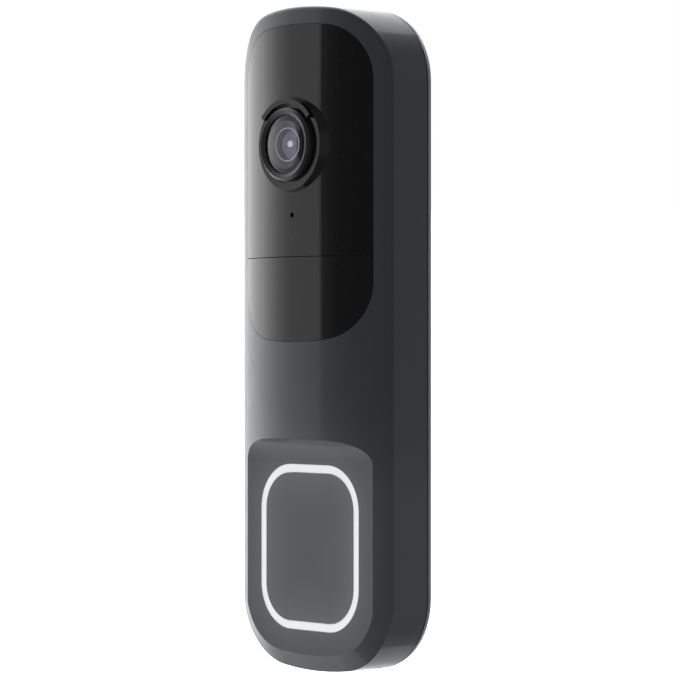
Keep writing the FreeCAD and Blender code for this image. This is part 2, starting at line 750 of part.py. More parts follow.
def main_board():
    half = d.board_half_width
    board = padded("main_board", BOARD_REAR, BOARD_FRONT, draw_rectangle,
                   (-half, half), (BOARD_BOTTOM, BOARD_TOP), 5.0)
    opening = d.holder_half + 0.3
    add_pocket(board, "holder_opening", BOARD_FRONT, BOARD_REAR, draw_rectangle,
               (-opening, opening), (CAMERA - opening, CAMERA + opening), 1.5)
    for number, (x, z) in enumerate(BOARD_POST_PLACES):
        add_pocket(board, f"board_hole_{number}", BOARD_FRONT, BOARD_REAR, draw_circle,
                   x, z, d.board_screw_radius + 0.1)
    parts["main_board"] = board
    parts["processor"] = chip("processor", as_size(-5.2), BOARD_BOTTOM + 14.0, 12.0, 12.0, 1.3, 0.4)
    parts["radio_shield"] = chip("radio_shield", as_size(7.6), BOARD_BOTTOM + 13.4, 11.0, 13.0, 2.2, 0.8)
    coil = chip("power_coil", as_size(-11.2), MOTION_SENSOR - 3.8, 6.0, 6.0, 3.0, 1.2)
    capacitors = [peg(f"capacitor_{n}", 10.9, MOTION_SENSOR - drop, (BOARD_FRONT - 4.2, BOARD_FRONT), 2.4)
                  for n, drop in enumerate((5.8, 0.4))]
    parts["power_components"] = fuse("power_components", coil, *capacitors)
    lamps = []
    lamp_offset = d.board_half_width - 2.7
    lamp_places = [(sign * lamp_offset, CAMERA + rise) for _, sign in SIDES for rise in (-9.7, 10.3)]
    for number, (x, z) in enumerate(lamp_places):
        lamps.append(chip(f"ir_package_{number}", x, z, 3.2, 3.2, 1.0, 0.3))
        lamps.append(peg(f"ir_bulb_{number}", x, z, (BOARD_FRONT - 1.9, BOARD_FRONT - 0.9), 1.2))
    parts["ir_leds"] = fuse("ir_leds", *lamps)
    mic_front = BOARD_FRONT - 1.1
    parts["microphone"] = chip("microphone", as_size(0), MICROPHONE, 3.8, 2.9, 1.1)
    parts["mic_gasket"] = cut("mic_gasket",
                              peg("gasket_blank", 0, MICROPHONE, (GLASS_BACK + 0.05, mic_front), 1.6),
                              peg("gasket_bore", 0, MICROPHONE, (GLASS_BACK - 1, mic_front + 1),
                                  d.microphone_hole))
    parts["light_sensor"] = chip("light_sensor", as_size(0), LIGHT_SENSOR, 2.0, 2.0, 0.8)
    parts["light_pipe"] = fuse("light_pipe",
                               peg("pipe_rod", 0, LIGHT_SENSOR,
                                   (GLASS_BACK + 0.05, BOARD_FRONT - 0.9), 1.1),
                               peg("pipe_foot", 0, LIGHT_SENSOR,
                                   (BOARD_FRONT - 2.2, BOARD_FRONT - 1.6), 1.6))
    z = MOTION_SENSOR
    can = d.motion_can_radius
    sensor = fuse("pir_stock",
                  peg("pir_can", 0, z, (BOARD_FRONT - 4.3, BOARD_FRONT), can),
                  peg("pir_flange", 0, z, (BOARD_FRONT - 0.5, BOARD_FRONT), can + 0.5))
    parts["pir_sensor"] = cut("pir_sensor", sensor,
                              box("pir_slot", (-2.4, 2.4), (BOARD_FRONT - 5, BOARD_FRONT - 4.0),
                                  (z - 1.9, z + 1.9)))
    screws = []
    for number, (x, z) in enumerate(BOARD_POST_PLACES):
        screws.extend(screw(f"board_screw_{number}", x, z, BOARD_FRONT, 1, 4.5,
                            d.board_screw_radius, d.board_screw_head, 0.9))
    parts["board_screws"] = fuse("board_screws", *screws)


def screw(label, x, z, seat, way, length, radius, head_radius, head_height):
    """Shank and cross-recessed head; way is +1 when the shank runs towards the wall."""
    if way > 0:
        shank = (seat - 0.05, seat + length)
        head = (seat - head_height, seat)
        mouth = (seat - head_height - 1, seat - head_height + 0.5)
    else:
        shank = (seat - length, seat + 0.05)
        head = (seat, seat + head_height)
        mouth = (seat + head_height - 0.5, seat + head_height + 1)
    x, z = as_size(x), as_size(z)
    half_slot = 0.22
    reach = head_radius * 0.6
    bars = [box(label + "_slot_a", (x - reach, x + reach), mouth, (z - half_slot, z + half_slot)),
            box(label + "_slot_b", (x - half_slot, x + half_slot), mouth, (z - reach, z + reach))]
    return [peg(label + "_shank", x, z, shank, radius),
            cut(label + "_head", peg(label + "_head_blank", x, z, head, head_radius), *bars)]


def button_group():
    z = BAND
    half_x, half_z, corner = d.band_half_width, d.band_half_height, d.band_corner
    flange_front = FACET_BACK
    flange_rear = FACET_BACK + d.band_flange_thickness
    outer = d.band_flange
    band = padded("light_band", flange_front, FACET + d.band_recess, draw_rectangle,
                  (-half_x, half_x), (z - half_z, z + half_z), corner)
    add_pad(band, "band_flange_pad", flange_rear, flange_front, draw_rectangle,
            (-half_x - outer, half_x + outer), (z - half_z - outer, z + half_z + outer), corner + outer)
    hole_x, hole_z, hole_corner = half_x - d.band_stroke, half_z - d.band_stroke, corner - d.band_stroke
    add_pocket(band, "band_hole", FACET, flange_rear, draw_rectangle,
               (-hole_x, hole_x), (z - hole_z, z + hole_z), hole_corner)
    parts["light_band"] = band

    pad_x, pad_z = hole_x - d.button_gap, hole_z - d.button_gap
    pad_rear = FACET + d.button_thickness
    plate = padded("button_plate", pad_rear, FACET, draw_rectangle,
                   (-pad_x, pad_x), (z - pad_z, z + pad_z), hole_corner - d.button_gap)
    actuator_front = FACET_BACK + 0.4
    pieces = [plate, peg("button_stem", 0, z, (pad_rear - 0.1, actuator_front), 1.6)]
    hook_front = flange_rear + 0.05
    hook_rear = hook_front + 0.4
    for number, (side, dz) in enumerate([(s, dz) for s in (-1, 1) for dz in (-3.5, 3.5)]):
        edge = side * pad_x
        inner, outer_edge = edge - side * 1.0, edge + side * 0.7
        leg = (inner, edge) if side > 0 else (edge, inner)
        toe = (inner, outer_edge) if side > 0 else (outer_edge, inner)
        heights = (z + dz - 1.2, z + dz + 1.2)
        pieces.append(box(f"button_leg_{number}", leg, (pad_rear - 0.1, hook_rear), heights))
        pieces.append(box(f"button_toe_{number}", toe, (hook_front, hook_rear), heights))
    parts["button_pad"] = fuse("button_pad", *pieces)

    half = d.button_board_half_width
    board = padded("button_board", BOARD_REAR, BOARD_FRONT, draw_rectangle,
                   (-half, half), (BUTTON_BOARD_BOTTOM, BUTTON_BOARD_TOP), 7.0)
    for number, (x, post_z) in enumerate(BUTTON_POST_PLACES):
        add_pocket(board, f"button_board_hole_{number}", BOARD_FRONT, BOARD_REAR, draw_circle,
                   x, post_z, d.board_screw_radius + 0.1)
    parts["button_board"] = board

    lights = []
    row_x, row_z = half_x - d.band_stroke / 2, half_z - d.band_stroke / 2
    places = [(sx * row_x, dz) for sx in (-1, 1) for dz in (-7.5, 0.0, 7.5)]
    places += [(dx, sz * row_z) for sz in (-1, 1) for dx in (-6.5, 0.0, 6.5)]
    for number, (x, dz) in enumerate(places):
        lights.append(chip(f"band_led_{number}", as_size(x), z + dz, 1.6, 1.6, 0.6, 0.2))
    parts["band_leds"] = fuse("band_leds", *lights)

    switch_top = BOARD_FRONT - 0.75
    parts["tactile_switch"] = cut("tactile_switch",
                                  chip("switch_body", as_size(0), z, 5.2, 5.2, 0.75, 0.4),
                                  peg("switch_bore", 0, z, (switch_top - 1, BOARD_FRONT + 1), 1.3))
    parts["switch_actuator"] = peg("switch_actuator", 0, z, (actuator_front, BOARD_FRONT - 0.55), 1.2)
    screws = []
    for number, (x, post_z) in enumerate(BUTTON_POST_PLACES):
        screws.extend(screw(f"button_screw_{number}", x, post_z, BOARD_REAR, -1, 2.3,
                            d.board_screw_radius, d.board_screw_head, 0.8))
    parts["button_board_screws"] = fuse("button_board_screws", *screws)
    parts["flex_cable"] = padded("flex_cable", BOARD_REAR + 0.15, BOARD_REAR, draw_rectangle,
                                 (-4.0, 4.0), (BUTTON_BOARD_TOP - 3.5, BOARD_BOTTOM + 3.5), 0.5)


HOOK_PLACES = [(name, sign * d.hook_offset) for name, sign in SIDES]


def rear_housing():
    flange = tapered("housing_flange", RIM_REAR, d.flange_draft, FLANGE_FRONT, 0)
    body = padded("housing_plate", RIM_REAR, PLATE_FRONT, draw_outline, *inset_outline(HOUSING_INSET))
    add_pad(body, "housing_spigot", PLATE_FRONT + 0.1, PLATE_FRONT - d.spigot_depth, draw_outline,
            *inset_outline(HOUSING_INSET))
    spigot_hollow = padded("spigot_hollow", PLATE_FRONT, PLATE_FRONT - d.spigot_depth - 1, draw_outline,
                           *inset_outline(HOUSING_INSET + d.spigot_wall))
    half_height = HALF_HEIGHT - d.recess_inset
    recess = padded("bracket_recess", 1, RECESS_FLOOR, draw_outline,
                    d.body_width / 2 - d.recess_inset, half_height, -half_height,
                    d.corner_radius - d.recess_inset, d.end_radius - d.recess_inset)
    shell = cut("housing_shell", fuse("housing_body", flange, body), spigot_hollow, recess)
    added = []
    removed = []
    block = d.lock_block_half_width + 0.5
    boss = block + BOSS_WALL
    boss_block = box("lock_boss_box", (-boss, boss), (BOSS_FRONT, PLATE_FRONT + 0.1),
                     (SPIGOT_BOTTOM - 1, BOSS_TOP))
    added.append(common("lock_boss", boss_block,
                        padded("lock_boss_limit", PLATE_FRONT + 0.2, BOSS_FRONT - 1, draw_outline,
                               *inset_outline(HOUSING_INSET))))
    removed.append(box("lock_pocket", (-block, block), (BOSS_FRONT + BOSS_WALL, RECESS_FLOOR + 1),
                       (POCKET_BOTTOM, POCKET_TOP)))
    removed.append(rod("lock_shank_hole", Z_AXIS, (0, LOCK_AXIS, SPIGOT_BOTTOM - 1),
                       POCKET_BOTTOM - SPIGOT_BOTTOM + 2, d.lock_shank_radius + 0.25))
    removed.append(rod("lock_seat_cut", Z_AXIS, (0, LOCK_AXIS, SPIGOT_BOTTOM - 2),
                       LOCK_SEAT - SPIGOT_BOTTOM + 2, d.lock_hole_radius))
    cup_low = HOOKS - d.lift_travel - 1.0
    cup_high = HOOKS + d.hook_stem + d.hook_lip + 0.6
    cup_front = PLATE_FRONT - d.hook_gap - d.hook_lip_thickness - 0.4
    half = d.hook_half_width + 0.7
    wall = d.hook_cup_wall
    for name, x in HOOK_PLACES:
        added.append(box(f"hook_cup_{name}", (x - half - wall, x + half + wall),
                         (cup_front - wall, PLATE_FRONT + 0.1), (cup_low - wall, cup_high + wall)))
        removed.append(box(f"hook_space_{name}", (x - half, x + half), (cup_front, PLATE_FRONT),
                           (cup_low, cup_high)))
        removed.append(box(f"hook_mouth_{name}", (x - half, x + half), (PLATE_FRONT - 0.1, RECESS_FLOOR + 1),
                           (cup_low, HOOKS + d.hook_stem + 0.05)))
    for number, (x, z) in enumerate(BOARD_POST_PLACES):
        added.append(peg(f"housing_post_{number}", x, z, (BOARD_REAR, PLATE_FRONT + 0.1), 1.6))
        removed.append(peg(f"housing_post_drill_{number}", x, z, (BOARD_REAR - 1, BOARD_REAR + 4.6),
                           d.board_screw_radius + d.thread_gap))
    for number, (x, z) in enumerate(CASE_SCREW_PLACES):
        removed.append(peg(f"case_hole_{number}", x, z, (PLATE_FRONT - 1, RECESS_FLOOR + 1),
                           d.case_screw_radius + 0.15))
        removed.append(peg(f"case_counterbore_{number}", x, z, (RECESS_FLOOR - 0.9, RECESS_FLOOR + 1),
                           d.case_screw_head + 0.15))
    half_w, half_h = d.terminal_half_width + 0.1, d.terminal_half_height + 0.1
    removed.append(box("terminal_opening", (-half_w, half_w), (PLATE_FRONT - 1, RECESS_FLOOR + 1),
                       (TERMINALS - half_h, TERMINALS + half_h)))
    removed.append(peg("tamper_hole", d.tamper_offset, TERMINALS, (PLATE_FRONT - 1, RECESS_FLOOR + 1),
                       d.tamper_radius + 0.1))
    removed.extend(sound_slots("housing_slot", SPIGOT_BOTTOM - 1, SPIGOT_BOTTOM + 6.5, 0.3))
    parts["rear_housing"] = cut("rear_housing", fuse("housing_stock", shell, *added), *removed)

    seal = padded("perimeter_seal", FLANGE_FRONT, SHELL_REAR, draw_outline, *inset_outline(d.seal_inset))
    add_pocket(seal, "seal_opening", SHELL_REAR, FLANGE_FRONT, draw_outline,
               *inset_outline(d.seal_inset + d.seal_width))
    parts["perimeter_seal"] = seal
    screws = []
    seat = RECESS_FLOOR - 0.9
    length = seat - CASE_BOSS_FRONT - 1.1
    for number, (x, z) in enumerate(CASE_SCREW_PLACES):
        screws.extend(screw(f"case_screw_{number}", x, z, seat, -1, length,
                            d.case_screw_radius, d.case_screw_head, 0.8))
    parts["case_screws"] = fuse("case_screws", *screws)


def power_and_sound():
    foam_front = PLATE_FRONT - d.foam_thickness
    half = d.battery_half_width
    parts["battery_foam"] = padded("battery_foam", PLATE_FRONT, foam_front, draw_rectangle,
                                   (-half + 2, half - 2), (BATTERY_BOTTOM + 3, BATTERY_TOP - 3), 2.0)
    parts["battery_cell"] = padded("battery_cell", foam_front, foam_front - d.battery_thickness,
                                   draw_rectangle, (-half, half), (BATTERY_BOTTOM, BATTERY_TOP), 2.0)
    connector_low = TERMINALS + 6.0
    lead_front = foam_front - d.battery_thickness + 0.05
    parts["battery_lead"] = padded("battery_lead", lead_front + 0.35, lead_front, draw_rectangle,
                                   (-3.0, 3.0), (BATTERY_TOP, connector_low), 0.4)
    parts["battery_connector"] = padded("battery_connector", BOARD_REAR + 1.9, BOARD_REAR, draw_rectangle,
                                        (-4.0, 4.0), (connector_low, connector_low + 4.5), 0.4)

    z_low = SPEAKER_LOW
    z_high = SPEAKER_HIGH
    front = BOARD_REAR + 0.25
    rear = front + d.speaker_depth
    half = d.speaker_half_width
    frame = padded("speaker_frame", rear, front, draw_rectangle, (-half, half), (z_low, z_high), 1.5)
    add_pocket(frame, "speaker_well", front, front + 1.2, draw_rectangle,
               (-half + 1.2, half - 1.2), (z_low + 1.2, z_high - 1.2), 5.0)
    port = box("speaker_port", (-half + 2, half - 2), (front + 1.6, rear - 0.8), (z_low - 1, z_low + 0.9))
    parts["speaker"] = cut("speaker", frame, port)
    cone_half = half - 1.4
    diaphragm = padded("speaker_diaphragm", front + 1.1, front + 0.8, draw_rectangle,
                       (-cone_half, cone_half), (z_low + 1.4, z_high - 1.4), 4.8)
    add_pad(diaphragm, "diaphragm_dome", front + 0.85, front + 0.25, draw_rectangle,
            (-cone_half + 3, cone_half - 3), (z_low + 4.4, z_high - 4.4), 2.5)
    parts["speaker_diaphragm"] = diaphragm
    gasket_low = GASKET_LOW
    parts["speaker_gasket"] = cut("speaker_gasket",
                                  box("speaker_gasket_blank", (-half, half), (front + 0.4, rear),
                                      (gasket_low, z_low)),
                                  box("speaker_gasket_port", (-half + 2, half - 2), (front + 1.6, rear - 0.8),
                                      (gasket_low - 1, z_low + 1)))

    duct_top = gasket_low
    duct_flange = duct_top - d.duct_flange
    duct_bottom = -HALF_HEIGHT + d.shell_wall + 3.6
    leg_inner = d.lock_block_half_width + 0.5 + BOSS_WALL + 0.5
    leg_outer = leg_inner + 6.1
    wall = d.duct_wall
    pieces = [box("duct_flange", (-leg_outer - 0.6, leg_outer + 0.6), (front + 0.6, rear),
                  (duct_flange, duct_top))]
    bores = []
    meshes = []
    for name, sign in SIDES:
        span = (leg_inner, leg_outer) if sign > 0 else (-leg_outer, -leg_inner)
        inside = (span[0] + wall, span[1] - wall)
        pieces.append(box(f"duct_leg_{name}", span, (front + 0.6, rear), (duct_bottom, duct_top)))
        bores.append(box(f"duct_bore_{name}", inside, (front + 0.6 + wall, rear - wall),
                         (duct_bottom - 1, duct_top + 1)))
        meshes.append(box(f"mesh_{name}", span, (front + 0.6, rear), (duct_bottom - 0.3, duct_bottom)))
    parts["speaker_duct"] = cut("speaker_duct", fuse("duct_stock", *pieces), *bores)
    parts["speaker_mesh"] = fuse("speaker_mesh", *meshes)
    antenna_side = -(HALF_WIDTH - d.shell_wall - 0.6)
    antenna_front = CASE_BOSS_FRONT + 0.7
    parts["antenna"] = box("antenna", (antenna_side, antenna_side + 0.3),
                           (antenna_front, antenna_front + 3.3), (CAMERA - 20.2, CAMERA + 7.8))


def terminals():
    z = TERMINALS
    half_w, half_h = d.terminal_half_width, d.terminal_half_height
    rear = RECESS_FLOOR - 0.05
    front = PLATE_FRONT - 4.0
    cup_floor = rear - d.terminal_cup_depth
    insert_front = front + 0.3
    block = fuse("terminal_stock",
                 box("terminal_body", (-half_w, half_w), (front, rear), (z - half_h, z + half_h)),
                 box("terminal_flange", (-half_w - 1.2, half_w + 1.2), (PLATE_FRONT - 1.0, PLATE_FRONT),
                     (z - half_h - 1.1, z + half_h + 1.1)))
    removed = []
    contacts = []
    for name, sign in SIDES:
        x = sign * d.terminal_offset
        removed.append(peg(f"terminal_cup_{name}", x, z, (cup_floor, rear + 1), d.terminal_cup_radius))
        removed.append(peg(f"terminal_bore_{name}", x, z, (front - 1, cup_floor + 1), 2.0))
        removed.append(box(f"wire_way_{name}", (x - 1.2, x + 1.2), (cup_floor, rear + 1),
                           (z - half_h - 1, z)))
        sleeve = fuse(f"terminal_sleeve_{name}",
                      peg(f"terminal_insert_{name}", x, z, (insert_front, cup_floor), 1.97),
                      peg(f"contact_pin_{name}", x, z, (BOARD_REAR, insert_front + 0.6), 0.7))
        contacts.append(cut(f"terminal_contact_{name}", sleeve,
                            peg(f"terminal_thread_{name}", x, z, (insert_front + 0.8, cup_floor + 1),
                                d.terminal_screw_radius + d.thread_gap)))
        washer_rear = cup_floor + 0.4
        parts[f"terminal_washer_{name}"] = cut(
            f"terminal_washer_{name}",
            peg(f"washer_blank_{name}", x, z, (cup_floor, washer_rear), d.terminal_head_radius + 0.3),
            peg(f"washer_bore_{name}", x, z, (cup_floor - 1, washer_rear + 1), d.terminal_screw_radius + 0.1))
        shank = cup_floor - insert_front - 1.0 + 0.4
        parts[f"terminal_screw_{name}"] = fuse(
            f"terminal_screw_{name}",
            *screw(f"terminal_bolt_{name}", x, z, washer_rear, -1, shank,
                   d.terminal_screw_radius, d.terminal_head_radius, 1.2))
    parts["terminal_block"] = cut("terminal_block", block, *removed)
    parts["terminal_contacts"] = fuse("terminal_contacts", *contacts)

    x = d.tamper_offset
    plunger_front = PLATE_FRONT - 3.7
    parts["tamper_plunger"] = fuse("tamper_plunger",
                                   peg("plunger_rod", x, z, (plunger_front, 0), d.tamper_radius),
                                   peg("plunger_collar", x, z, (PLATE_FRONT - 1.0, PLATE_FRONT - 0.1),
                                       d.tamper_radius + 0.6))
    parts["tamper_switch"] = padded("tamper_switch", plunger_front - d.tamper_travel - 0.1, BOARD_REAR,
                                    draw_rectangle, (x - 2.2, x + 0.6), (z - 1.8, z + 1.8), 0.3)


def bracket():
    inset_half_width = HALF_WIDTH - BRACKET_INSET
    plate_front = -d.bracket_thickness
    plate = padded("bracket_plate", 0, plate_front, draw_outline, inset_half_width,
                   HALF_HEIGHT - BRACKET_INSET, BRACKET_BOTTOM,
                   d.corner_radius - BRACKET_INSET, d.end_radius - BRACKET_INSET)
    window_half = d.window_half_width
    window_low = TERMINALS - d.window_below_terminals
    add_pocket(plate, "cable_window", plate_front, 0, draw_rectangle, (-window_half, window_half),
               (window_low, window_low + d.window_height), 2.5)
    slot_half = d.tamper_radius + 0.6
    add_pocket(plate, "tamper_slot", plate_front, 0, draw_rectangle,
               (d.tamper_offset - slot_half, d.tamper_offset + slot_half),
               (TERMINALS - slot_half - 0.5, TERMINALS + slot_half + d.lift_travel + 0.5), 2.0)
    half = d.anchor_spacing / 2
    for name, z in (("upper", half), ("lower", -half)):
        add_pocket(plate, f"anchor_hole_{name}", plate_front, 0, draw_circle, 0, z, d.anchor_radius)
        add_pocket(plate, f"anchor_seat_{name}", plate_front, plate_front + d.anchor_head_depth,
                   draw_circle, 0, z, d.anchor_head_radius)
    for number, (low, high) in enumerate(((-37.0, -31.0), (-28.0, -4.0))):
        for side, (x0, x1) in (("left", (-12.0, -3.0)), ("right", (3.0, 12.0))):
            add_pocket(plate, f"lightening_{side}_{number}", plate_front, plate_front + 0.6,
                       draw_rectangle, (x0, x1), (low, high), 1.5)
    pieces = [plate]
    lip_rear = PLATE_FRONT - d.hook_gap
    lip_front = lip_rear - d.hook_lip_thickness
    half = d.hook_half_width
    for name, x in HOOK_PLACES:
        pieces.append(box(f"hook_stem_{name}", (x - half, x + half), (lip_front, plate_front + 0.2),
                          (HOOKS, HOOKS + d.hook_stem)))
        pieces.append(box(f"hook_lip_{name}", (x - half, x + half), (lip_front, lip_rear),
                          (HOOKS, HOOKS + d.hook_stem + d.hook_lip)))
    half = d.lock_block_half_width
    pieces.append(box("lock_block", (-half, half), (-d.lock_block_depth, 0),
                      (BRACKET_BOTTOM, LOCK_BLOCK_TOP)))
    thread = rod("lock_thread", Z_AXIS, (0, LOCK_AXIS, BRACKET_BOTTOM - 1),
                 d.lock_block_height + 2, d.lock_shank_radius + d.lock_clearance)
    parts["wall_bracket"] = cut("wall_bracket", fuse("bracket_stock", *pieces), thread)


def lock_screw():
    washer_low = LOCK_SEAT - d.lock_washer_thickness
    parts["lock_washer"] = cut("lock_washer",
                               rod("lock_washer_blank", Z_AXIS, (0, LOCK_AXIS, washer_low),
                                   d.lock_washer_thickness, d.lock_washer_radius),
                               rod("lock_washer_bore", Z_AXIS, (0, LOCK_AXIS, washer_low - 1),
                                   d.lock_washer_thickness + 2, d.lock_shank_radius + 0.1))
    head_low = washer_low - d.lock_head_height
    head = rod("lock_head", Z_AXIS, (0, LOCK_AXIS, head_low), d.lock_head_height, d.lock_head_radius)
    shank = rod("lock_shank", Z_AXIS, (0, LOCK_AXIS, washer_low - 0.1), d.lock_length + 0.1,
                d.lock_shank_radius)
    socket = doc.addObject("Part::Prism", "lock_socket")
    socket.Polygon = 6
    bind(socket, "Circumradius", d.lock_head_radius * 0.5)
    bind(socket, "Height", d.lock_head_height * 0.65 + 1)
    place(socket, 0, LOCK_AXIS, head_low - 1)
    parts["lock_screw"] = cut("lock_screw", fuse("lock_screw_stock", head, shank), socket)


def check_document():
    doc.recompute()
    bad = [f"{item.Label}: {item.State}" for item in doc.Objects
           if "Invalid" in item.State or "Error" in item.State]
    for name, item in parts.items():
        if item.Shape.isNull() or not item.Shape.isValid() or not item.Shape.Solids:
            bad.append(f"{name}: no valid solid")
    if bad:
        raise RuntimeError("failed objects: " + "; ".join(bad))


def write_parts():
    os.makedirs("parts", exist_ok=True)
    for name, item in parts.items():
        item.Label = name
        item.Shape.exportStep(f"parts/{name}.step")
        bounds = item.Shape.BoundBox
        print(f"{name:22s} {item.Shape.Volume:10.1f} mm3 solids {len(item.Shape.Solids):2d} "
              f"x {bounds.XMin:.2f}..{bounds.XMax:.2f} y {bounds.YMin:.2f}..{bounds.YMax:.2f} "
              f"z {bounds.ZMin:.2f}..{bounds.ZMax:.2f}")


bracket()
rear_housing()
front_shell()
glass_panels()
camera_collar()
lens_group()
main_board()
button_group()
power_and_sound()
terminals()
lock_screw()
check_document()
write_parts()
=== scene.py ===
"""Video doorbell: finishes, small detail pieces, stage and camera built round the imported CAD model."""

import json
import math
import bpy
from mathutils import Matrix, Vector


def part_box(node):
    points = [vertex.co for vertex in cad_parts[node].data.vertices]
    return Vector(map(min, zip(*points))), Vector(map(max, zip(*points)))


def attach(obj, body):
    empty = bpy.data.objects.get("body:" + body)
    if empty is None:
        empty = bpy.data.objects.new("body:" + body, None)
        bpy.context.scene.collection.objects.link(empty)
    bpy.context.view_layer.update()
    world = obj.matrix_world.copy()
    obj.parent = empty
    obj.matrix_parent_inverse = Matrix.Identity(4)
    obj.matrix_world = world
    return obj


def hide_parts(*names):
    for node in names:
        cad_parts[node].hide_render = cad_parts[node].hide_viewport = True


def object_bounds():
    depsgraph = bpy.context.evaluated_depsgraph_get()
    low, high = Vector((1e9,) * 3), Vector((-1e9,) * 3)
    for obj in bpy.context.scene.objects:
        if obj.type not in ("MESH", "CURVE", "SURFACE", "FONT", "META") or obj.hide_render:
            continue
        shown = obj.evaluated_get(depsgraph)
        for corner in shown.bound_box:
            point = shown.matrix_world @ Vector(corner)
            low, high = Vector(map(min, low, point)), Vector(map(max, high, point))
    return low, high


bl_info = {
    "name": "Video Doorbell",
    "version": (1, 0, 0),
    "blender": (4, 5, 0),
    "location": "View3D > Sidebar > Doorbell",
    "description": "Dresses the doorbell's frame with procedural finishes and detailed small pieces",
    "category": "Object",
}

import bmesh
import bpy
from bpy.props import FloatProperty, FloatVectorProperty, IntProperty, PointerProperty
from mathutils import Vector

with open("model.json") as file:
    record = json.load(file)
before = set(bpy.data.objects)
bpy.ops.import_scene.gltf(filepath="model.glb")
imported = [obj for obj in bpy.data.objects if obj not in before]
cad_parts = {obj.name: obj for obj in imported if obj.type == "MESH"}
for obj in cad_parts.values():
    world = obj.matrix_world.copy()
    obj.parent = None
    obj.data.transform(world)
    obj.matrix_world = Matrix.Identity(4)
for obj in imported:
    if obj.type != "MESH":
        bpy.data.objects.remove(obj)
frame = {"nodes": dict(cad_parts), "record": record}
CAD_LOW, CAD_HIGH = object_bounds()

MM = 0.001
# The speaker duct's leg and the wire sheet across its mouth.
DUCT_LEG_WIDTH = 6.1 * MM
MESH_PITCH = 0.32 * MM
MESH_WIRE = 0.07 * MM
# The light sensor's eye behind the window.
EYE_RADIUS = 0.75 * MM
EYE_SOFTNESS = 0.25 * MM
# What the camera looks at: a depth in front of the wall plane and a shift towards the camera's right.
AIM_DEPTH = -8.9 * MM
AIM_SHIFT = 3.0 * MM
# The lit band: width of its stroke, width of its hidden flange, corner radius and how far the glow painted on
# the plastic beside it spreads.
BAND_STROKE = 1.65 * MM
BAND_FLANGE = 1.35 * MM
BAND_CORNER = 8.9 * MM
PAINTED_GLOW_REACH = 7.5 * MM
# The painted highlight on the inner lens: a white spot in its colour and emission that stands in for a
# reflection.
PAINTED_GLINT_PLACE = Vector((0.55, 0.0, 0.1)) * MM
PAINTED_GLINT_RADIUS = 0.5 * MM
PAINTED_GLINT_SOFTNESS = 0.3 * MM
# The baffle in front of the inner lens and the bright lip at its hole.
FIRST_HOLE = 4.7 * MM
HOLE_NARROWING = 1.1 * MM
RING_FILL = 0.7
LIP_OUTER = 3.5 * MM
LIP_HOLE = 3.3 * MM
LIP_THICKNESS = 0.12 * MM
LIP_SETBACK = 0.1 * MM
SLOT_OF_NODE = {row["node"]: row["material_slot"] for row in frame["record"]["subparts"]}
HEAD_TO_WALL = (-math.pi / 2, 0.0, 0.0)
HEAD_TO_FRONT = (math.pi / 2, 0.0, 0.0)
BODIES = frame["record"]["behaviour"]["bodies"]
BODY_OF_NODE = {node: body for body, nodes in BODIES.items() for node in nodes}


def middle(node):
    """The centre of a CAD node's box."""
    low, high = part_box(node)
    return (low + high) / 2


# ---------------------------------------------------------------- shader helpers


def new_group(name, inputs, outputs):
    """A shader node group with its sockets, and its input and output nodes."""
    tree = bpy.data.node_groups.new(name, "ShaderNodeTree")
    for label, kind, default in inputs:
        socket = tree.interface.new_socket(label, in_out="INPUT", socket_type=kind)
        if default is not None:
            socket.default_value = default
    for label, kind in outputs:
        tree.interface.new_socket(label, in_out="OUTPUT", socket_type=kind)
    return tree, tree.nodes.new("NodeGroupInput"), tree.nodes.new("NodeGroupOutput")


def put(tree, socket, value):
    """Link an output socket to an input, or set the input to a plain number or colour."""
    if isinstance(value, bpy.types.NodeSocket):
        tree.links.new(value, socket)
    else:
        socket.default_value = (*value[:3], 1.0) if socket.type == "RGBA" else value


def math_node(tree, operation, first, second=0.0, clamp=False):
    """A Math node fed with sockets or plain numbers; gives its output socket."""
    node = tree.nodes.new("ShaderNodeMath")
    node.operation = operation
    node.use_clamp = clamp
    for socket, value in zip(node.inputs, (first, second)):
        put(tree, socket, value)
    return node.outputs[0]


def times(tree, first, second):
    """The product of two sockets or numbers."""
    return math_node(tree, "MULTIPLY", first, second)


def flat_length(tree, first, second):
    """The length of a flat vector with the given sides."""
    squares = math_node(tree, "ADD", times(tree, first, first), times(tree, second, second))
    return math_node(tree, "SQRT", squares)


def split(tree, vector):
    """The X, Y and Z outputs of a vector."""
    return feed(tree, "ShaderNodeSeparateXYZ", Vector=vector).outputs


def toned(tree, colour, factor):
    """A colour made lighter or darker by a factor."""
    node = feed(tree, "ShaderNodeVectorMath", Vector=colour)
    node.operation = "SCALE"
    tree.links.new(factor, node.inputs["Scale"])
    return node.outputs[0]


def noise_node(tree, vector, scale, detail=2.0, roughness=0.5):
    """Soft noise from 0 to 1 at the given scale."""
    node = tree.nodes.new("ShaderNodeTexNoise")
    node.inputs["Detail"].default_value = detail
    node.inputs["Roughness"].default_value = roughness
    put(tree, node.inputs["Vector"], vector)
    put(tree, node.inputs["Scale"], scale)
    return node.outputs["Fac"]


def remap(tree, value, from_low, from_high, to_low, to_high):
    """Stretch a value from one range to another, held inside the new range."""
    node = tree.nodes.new("ShaderNodeMapRange")
    labels = ("Value", "From Min", "From Max", "To Min", "To Max")
    for label, number in zip(labels, (value, from_low, from_high, to_low, to_high)):
        put(tree, node.inputs[label], number)
    return node.outputs["Result"]


def mix_colour(tree, factor, first, second, blend="MIX"):
    """Blend two colours; each may be a socket or a plain colour."""
    node = tree.nodes.new("ShaderNodeMix")
    node.data_type = "RGBA"
    node.blend_type = blend
    for label, value in (("Factor_Float", factor), ("A_Color", first), ("B_Color", second)):
        put(tree, next(s for s in node.inputs if s.identifier == label), value)
    return next(s for s in node.outputs if s.identifier == "Result_Color")


SURFACE_OUTPUTS = (("Colour", "NodeSocketColor"), ("Roughness", "NodeSocketFloat"),
                   ("Height", "NodeSocketFloat"))


